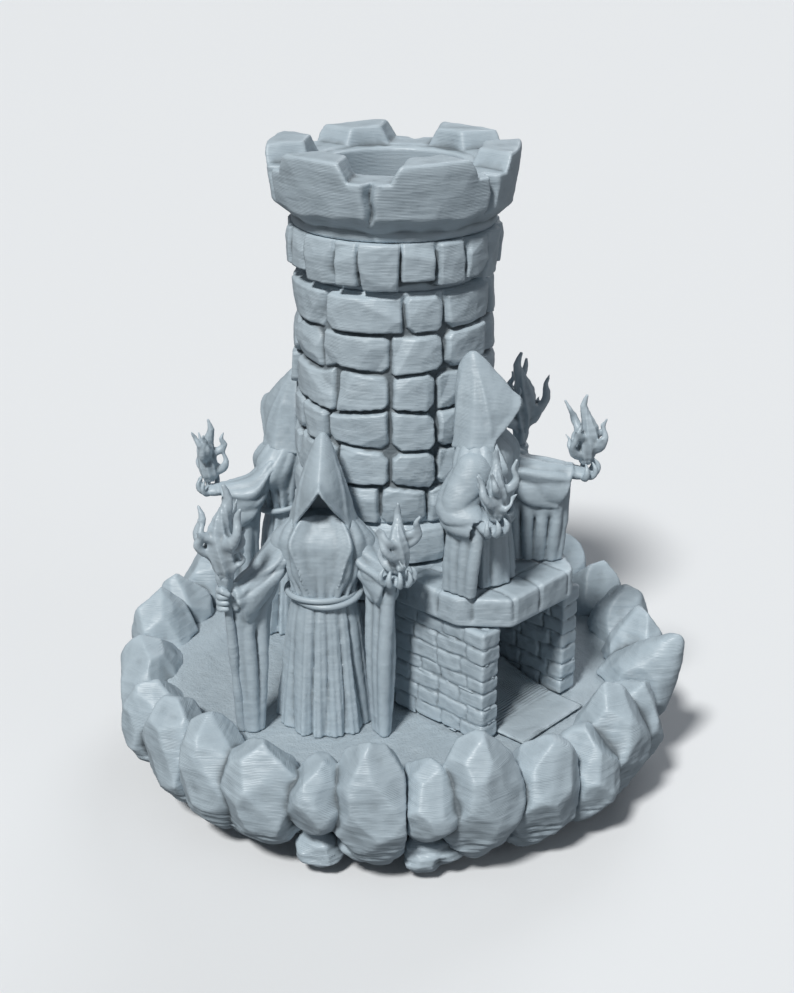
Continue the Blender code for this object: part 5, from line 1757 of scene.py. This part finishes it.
@dataclass
class Mage:
    """A hooded figure in a pleated robe, holding fire (mm, in its own frame facing -Y)."""

    name: str
    radius: float
    azimuth: float
    facing: float
    base: float
    start: float
    arms: tuple[Arm, Arm]
    staff: float
    body: Body
    seed: int
    step: float = 0.6
    belt_height: float = 49.0
    pleats: int = 13
    face_top: float = 87.0
    shoulders: float = 76.0
    hood_step: float = 0.45
    rod_step: float = 0.36
    hand_flame: float = 23.0
    staff_flame: float = 31.0
    robe_rows: tuple[tuple[float, ...], ...] = (
        (0.0, 15.5, 14.0, 9.6), (24.0, 13.0, 11.4, 8.9), (40.0, 11.5, 9.8, 8.3), (47.5, 10.4, 8.8, 7.6),
        (50.5, 10.6, 9.0, 7.7), (57.0, 11.7, 9.5, 8.3), (63.0, 12.4, 9.5, 8.6), (69.0, 12.8, 8.7, 8.4),
        (73.0, 10.4, 5.6, 7.4), (76.0, 7.0, 3.0, 6.0),
    )
    hood_rows: tuple[tuple[float, ...], ...] = (
        (70.5, 0.2, 11.8, 7.0, 9.8), (74.0, 0.0, 10.6, 8.4, 9.4), (80.0, 0.0, 8.9, 10.9, 9.3),
        (86.0, 0.3, 7.2, 11.6, 9.1), (92.0, 1.2, 5.3, 8.4, 8.2), (97.5, 2.5, 3.3, 4.4, 5.8),
        (100.5, 3.4, 2.0, 2.3, 3.2), (102.2, 3.9, 0.6, 0.7, 0.9),
    )

    @property
    def place(self) -> Matrix:
        """Where the figure's own frame stands."""
        spot = polar(self.radius, self.azimuth, self.base)
        return Matrix.Translation(spot) @ Matrix.Rotation(math.radians(self.facing), 4, "Z")

    def build(self, shop: Workshop) -> None:
        """Every piece of the figure."""
        self.cloth(shop, "robe", self.robe())
        self.cloth(shop, "hood", self.hood())
        self.belt(shop)
        for arm in self.arms:
            label = arm.side.name.lower()
            self.cloth(shop, f"arm_{label}", arm.clay(self.start, self.step))
            hand = Vector(arm.hand)
            seat, height = hand + Vector((arm.sign * 0.6, -1.8, 3.6)), self.hand_flame
            if arm.grip is Grip.STAFF:
                self.cloth(shop, "staff", self.rod(hand))
                seat = hand + STAFF_LEAN * self.staff + UP * 0.6
                height = self.staff_flame
            turn = Matrix.Rotation(math.radians(40.0 * arm.sign + 60.0), 4, "Z")
            place = self.place @ Matrix.Translation(seat) @ turn
            flame = Flame(height, self.seed * 2 + (arm.sign > 0))
            fire = shop.piece(f"{self.name}_fire_{label}", *flame.mesh(), place=place)
            shop.weathered(
                fire, FLAME, self.body, f"{self.name}_flame_{label}", Lump_Size=2.5, Lump_Depth=0.15,
                Chip_Depth=0.0, Streak_Size=0.8, Streak_Depth=0.05, Grain_Depth=0.03, Seed=float(self.seed),
            )

    def cloth(self, shop: Workshop, label: str, clay: Clay) -> None:
        """Skin a piece of the figure, crease it and fit it in place of its node."""
        piece = shop.piece(f"{self.name}_{label}_sculpt", *clay.skin(), place=self.place)
        shop.weathered(
            piece, CLOTH, self.body, f"{self.name}_{label}", Lump_Size=5.0, Lump_Depth=0.22, Chip_Size=4.0,
            Chip_Depth=0.12, Streak_Size=0.9, Streak_Depth=0.06, Grain_Depth=0.04, Seed=float(self.seed),
            Floor=self.base + self.start + 0.4,
        )

    def robe(self) -> Clay:
        """The robe: pleats below the belt, gathers above it, and a smooth front between side drapes."""
        clay = Clay((-19.0, -18.0, self.start + GAP), (19.0, 13.0, self.shoulders + 1.0), self.step)
        x, y, z = clay.every()
        half, front, back = smooth_profile(z, self.robe_rows)
        depth = np.where(y < 0.0, front, back)
        u, v = x / half, y / depth
        around = np.arctan2(v, u)
        warped = around + 0.13 * np.sin(3.0 * around + 1.3 + self.seed) + 0.05 * np.sin(7.0 * around + 0.4)
        skirt = np.clip(1.0 - z / self.belt_height, 0.0, 1.0) ** 0.5
        fold = np.abs(np.sin(0.5 * self.pleats * warped + 0.30 * np.sin(z * 0.09 + 3.0 * around))) ** 0.55
        fine = np.abs(np.sin(1.4 * self.pleats * warped + 0.02 * z)) - 0.6
        deep = 0.70 + 0.30 * np.sin(5.0 * around + 2.0 + self.seed)
        push = skirt * (3.7 * deep * (fold - 0.70) + 0.6 * fine)
        push = np.where(z > self.belt_height, self.gathers(x, y, z), push)
        square = 2.0 + 0.9 * np.clip((z - self.belt_height) / 8.0, 0.0, 1.0)
        shape = ((np.abs(u) + 1e-5) ** square + (np.abs(v) + 1e-5) ** square) ** (1.0 / square) - 1.0
        shape = shape * np.minimum(half, depth) - push
        clay.field = np.maximum(shape, z - self.shoulders).astype(np.float32)
        for sign in (-1.0, 1.0):
            shoulder = ((sign * 6.0, 1.0, 69.5), (sign * 12.6, 1.2, 64.6))
            clay.add(limb(shoulder, (5.0, 4.8), 8), 4.0)
        clay.stand(self.start + GAP)
        return clay

    def gathers(self, x: Array, y: Array, z: Array) -> Array:
        """How far the cloth above the belt stands out: drapes from the shoulders beside a smooth front."""
        turn = np.abs(np.arctan2(x, -y))
        up = np.clip((z - self.belt_height) / 23.0, 0.0, 1.2)
        drape = 0.42 + 0.40 * up
        strap = np.exp(-((turn - drape) / 0.13) ** 2) * (1.1 + 0.9 * up) - 0.7 * (turn < drape)
        beside = np.clip((turn - drape + 0.15) / 0.25, 0.0, 1.0)
        ripple = (np.abs(np.sin(9.5 * (turn - drape) + 0.6 * np.sin(0.25 * z + self.seed))) - 0.6) * beside
        gather = (np.abs(np.sin(11.0 * turn + 0.4 * self.seed)) - 0.6) * np.exp(-3.2 * up)
        return strap + 1.1 * ripple * (1.0 - 0.4 * up) + 0.7 * gather

    def hood(self) -> Clay:
        """A gabled hood with a ridge down its front, rolled lapels and a hollow inside."""
        clay = Clay((-15.0, -15.0, 68.0), (15.0, 15.0, 103.4), min(self.step, self.hood_step))
        x, y, z = clay.every()
        middle, half, front, back = smooth_profile(z, self.hood_rows)
        ahead = y < middle
        depth = np.where(ahead, front, back)
        power = np.where(ahead, 1.5, 2.2)
        u, v = np.abs(x / half) + 1e-5, np.abs((y - middle) / depth) + 1e-5
        shape = ((u ** power + v ** power) ** (1.0 / power) - 1.0) * np.minimum(half, depth)
        mouth = np.clip((self.face_top - z) * 0.60, -6.0, 7.6)
        edge = np.abs(x) - mouth
        turn = np.abs(np.arctan2(x, middle - y))
        fold = 0.55 * np.exp(-((turn - 1.05 - 0.012 * (z - 73.0)) / 0.13) ** 2)
        fold = fold + 0.5 * np.exp(-((turn - 1.75) / 0.16) ** 2) + 0.6 * np.exp(-((turn - 2.5) / 0.14) ** 2)
        fold = fold * np.clip((99.0 - z) / 10.0, 0.0, 1.0)
        roll = 0.85 * np.exp(-((edge - 1.0) / 0.8) ** 2) * np.clip(-(y - middle) / 3.0, 0.0, 1.0)
        skin = shape - fold - roll * (z < self.face_top + 3.0)
        tips = 2.8 * np.exp(-((np.abs(x) - 9.0) / 2.0) ** 2) * (y < 0.0)
        hem = (73.6 - tips - 0.22 * np.clip(y, 0.0, 12.0) - z) * 0.9
        inside = smooth_max(shape + 1.7, np.maximum(y - 3.0, z - 90.0), 1.5)
        open_front = np.maximum(edge * 0.85, y + 1.0)
        solid = smooth_max(np.maximum(skin, z - 102.0), hem, 0.8)
        clay.field = smooth_max(smooth_max(solid, -inside, 0.5), -open_front, 0.6).astype(np.float32)
        return clay

    def belt(self, shop: Workshop) -> None:
        """The rope round the waist, a little lower at the front."""
        count = 48
        waist = smooth_profile(np.array([self.belt_height]), self.robe_rows)
        half, front, back = (float(value[0]) for value in waist)
        points = []
        for index in range(count):
            turn = 2.0 * math.pi * index / count
            depth = front if math.sin(turn) < 0.0 else back
            points.append((
                (half + 0.9) * math.cos(turn), (depth + 0.9) * math.sin(turn),
                self.belt_height + 1.2 * math.sin(turn),
            ))
        mesh = bpy.data.meshes.new(f"{self.name}_rope_belt")
        spots = [self.place @ Vector(point) * MM for point in points]
        mesh.from_pydata(spots, [(index, (index + 1) % count) for index in range(count)], [])
        belt = bpy.data.objects.new(f"{self.name}_rope_belt", mesh)
        shop.collection.objects.link(belt)
        shop.rope.shape(
            belt, CLOTH.material(), Strands=2.0, Strand_Radius=1.05, Lay_Radius=1.1, Turns=1.0, Samples=200.0
        )
        shop.fit(belt, CLOTH, self.body, f"{self.name}_belt")

    def rod(self, hand: Vector) -> Clay:
        """The staff: a knotted rod that leans out from the ground and opens under its flame."""
        rng = random.Random(self.seed)
        ground, top = self.start + GAP, hand.z + self.staff
        heights = np.linspace(ground, top, 9)
        path = []
        for z in heights:
            wander = Vector((rng.uniform(-0.12, 0.12), rng.uniform(-0.12, 0.12), 0.0))
            path.append(hand + STAFF_LEAN * (z - hand.z) + wander * (abs(z - hand.z) > 8.0))
        radii = [1.45 + rng.uniform(-0.15, 0.3) for _ in heights]
        radii[-1] = 2.2
        low, high = box_round(path, 5.0)
        clay = Clay((*low[:2], ground), (*high[:2], top + 5.0), self.rod_step)
        clay.add(limb(path, radii, 32))
        head = path[-1]
        for index in range(4):
            angle = index * 1.57 + 0.4
            out = Vector((math.cos(angle), math.sin(angle), 0.0))
            claw = (
                head - UP * 3.0 + out, head + out * 2.2,
                head + out * 2.5 + UP * 3.4,
            )
            clay.add(limb(claw, (1.1, 0.9, 0.4), 6), 0.6)
        clay.stand(ground)
        return clay


def mages() -> list[Mage]:
    """The four figures: three on the tray's floor and one on the gate's slab."""
    right, left = Side.RIGHT, Side.LEFT
    return [
        Mage("front_mage", 48.0, -28.5, -3.0, FLOOR_Z, 0.0, (
            Arm(right, (-30.0, -13.0, 50.5), Grip.STAFF), Arm(left, (24.5, -13.0, 59.0)),
        ), 8.0, Body.TRAY, 3, 0.45),
        Mage("left_mage", 48.5, -128.0, -126.0, FLOOR_Z, 0.0, (
            Arm(right, (-30.0, -13.0, 50.5), Grip.STAFF), Arm(left, (26.0, -14.0, 59.0)),
        ), 8.0, Body.TRAY, 5),
        Mage("rear_mage", 48.5, 162.0, 164.0, FLOOR_Z, 0.0, (
            Arm(right, (-30.0, -13.0, 59.0), Grip.STAFF), Arm(left, (24.5, -13.0, 59.0)),
        ), 9.0, Body.TRAY, 7),
        Mage("gate_mage", 47.5, 37.1, 74.0, 60.6, 26.0, (
            Arm(right, (-20.0, -7.0, 51.3), Grip.OPEN, 4.6, (4.4, -0.8), 7, (2.1, 1.8)),
            Arm(left, (17.0, -28.5, 58.0), Grip.OPEN, 0.0, (7.0, 0.5), 8, (2.0, 1.8)),
        ), 0.0, Body.TOWER, 9, 0.45),
    ]


@dataclass
class Studio:
    """Pale floor, soft light and the camera."""

    camera_place: tuple[float, float, float] = (0.001, -0.4976, 0.3104)
    tilt: float = 66.84
    lens: float = 56.08
    floor_size: float = 6.0
    paper: tuple[float, float, float] = (0.78, 0.80, 0.82)
    bounce: tuple[float, float, float] = (0.20, 0.21, 0.22)

    def build(self) -> None:
        """Everything that isn't the object."""
        scene = bpy.context.scene
        scene.view_settings.view_transform = "Standard"
        self.build_camera(scene)
        self.build_floor()
        self.build_light(scene)

    def build_camera(self, scene: bpy.types.Scene) -> None:
        """The camera, from in front and above."""
        data = bpy.data.cameras.new("camera")
        data.lens = self.lens
        data.sensor_width = 36.0
        data.clip_start = 0.01
        camera = bpy.data.objects.new("camera", data)
        camera.location = self.camera_place
        camera.rotation_euler = (math.radians(self.tilt), 0.0, 0.0)
        scene.collection.objects.link(camera)
        scene.camera = camera

    def build_floor(self) -> None:
        """A plain pale floor under the tray that throws little light back up."""
        bm = bmesh.new()
        bmesh.ops.create_grid(bm, x_segments=8, y_segments=8, size=self.floor_size / 2)
        mesh = bpy.data.meshes.new("studio_floor")
        bm.to_mesh(mesh)
        bm.free()
        floor = bpy.data.objects.new("studio_floor", mesh)
        floor.location.z = -0.0002
        bpy.context.scene.collection.objects.link(floor)
        made = bpy.data.materials.new("studio_paper")
        made.use_nodes = True
        shader = made.node_tree.nodes["Principled BSDF"]
        tree = NodeTree(made.node_tree)
        seen = tree.node("ShaderNodeLightPath", output="Is Camera Ray")
        tree.feed(shader.inputs["Base Color"], PrintedPlastic.mix(tree, seen, self.bounce, self.paper))
        shader.inputs["Roughness"].default_value = 0.9
        shader.inputs["Specular IOR Level"].default_value = 0.1
        mesh.materials.append(made)

    def build_light(self, scene: bpy.types.Scene) -> None:
        """A key from the upper left front, a weak fill, and an even sky."""
        for name, spot, spread, power, colour in (
            ("key", (-0.36, -0.74, 1.0), 9.0, 3.2, (1.0, 0.99, 0.97)),
            ("fill", (0.95, -0.60, 0.45), 40.0, 0.22, (0.93, 0.96, 1.0)),
            ("rim", (0.35, 0.90, 0.70), 30.0, 0.55, (0.95, 0.97, 1.0)),
        ):
            data = bpy.data.lights.new(name, "SUN")
            data.angle = math.radians(spread)
            data.energy = power
            data.color = colour
            lamp = bpy.data.objects.new(name, data)
            lamp.location = spot
            aim = -Vector(spot)
            lamp.rotation_euler = aim.to_track_quat("-Z", "Y").to_euler()
            scene.collection.objects.link(lamp)
        world = bpy.data.worlds.new("studio")
        scene.world = world
        world.use_nodes = True
        tree = NodeTree(world.node_tree)
        world.node_tree.nodes.clear()
        seen = tree.node("ShaderNodeLightPath", output="Is Camera Ray")
        sky = tree.node("ShaderNodeBackground", inputs={"Color": (0.86, 0.92, 1.0, 1.0), "Strength": 0.135})
        paper = tree.node("ShaderNodeBackground", inputs={"Color": (0.90, 0.91, 0.92, 1.0), "Strength": 1.0})
        both = tree.node("ShaderNodeMixShader", inputs={0: seen, 1: sky, 2: paper})
        tree.node("ShaderNodeOutputWorld", inputs={"Surface": both})


def main() -> None:
    """Build every sub-assembly in order."""
    logging.basicConfig(level=logging.INFO, format="%(name)s %(message)s")
    Studio().build()
    shop = Workshop()
    tray = Tray()
    tray.build(shop)
    BoulderRim(tray).build(shop)
    keep = Keep()
    keep.build(shop)
    Crown().build(shop)
    Gate(keep).build(shop)
    for mage in mages():
        mage.build(shop)


if __name__ == "__main__":
    main()
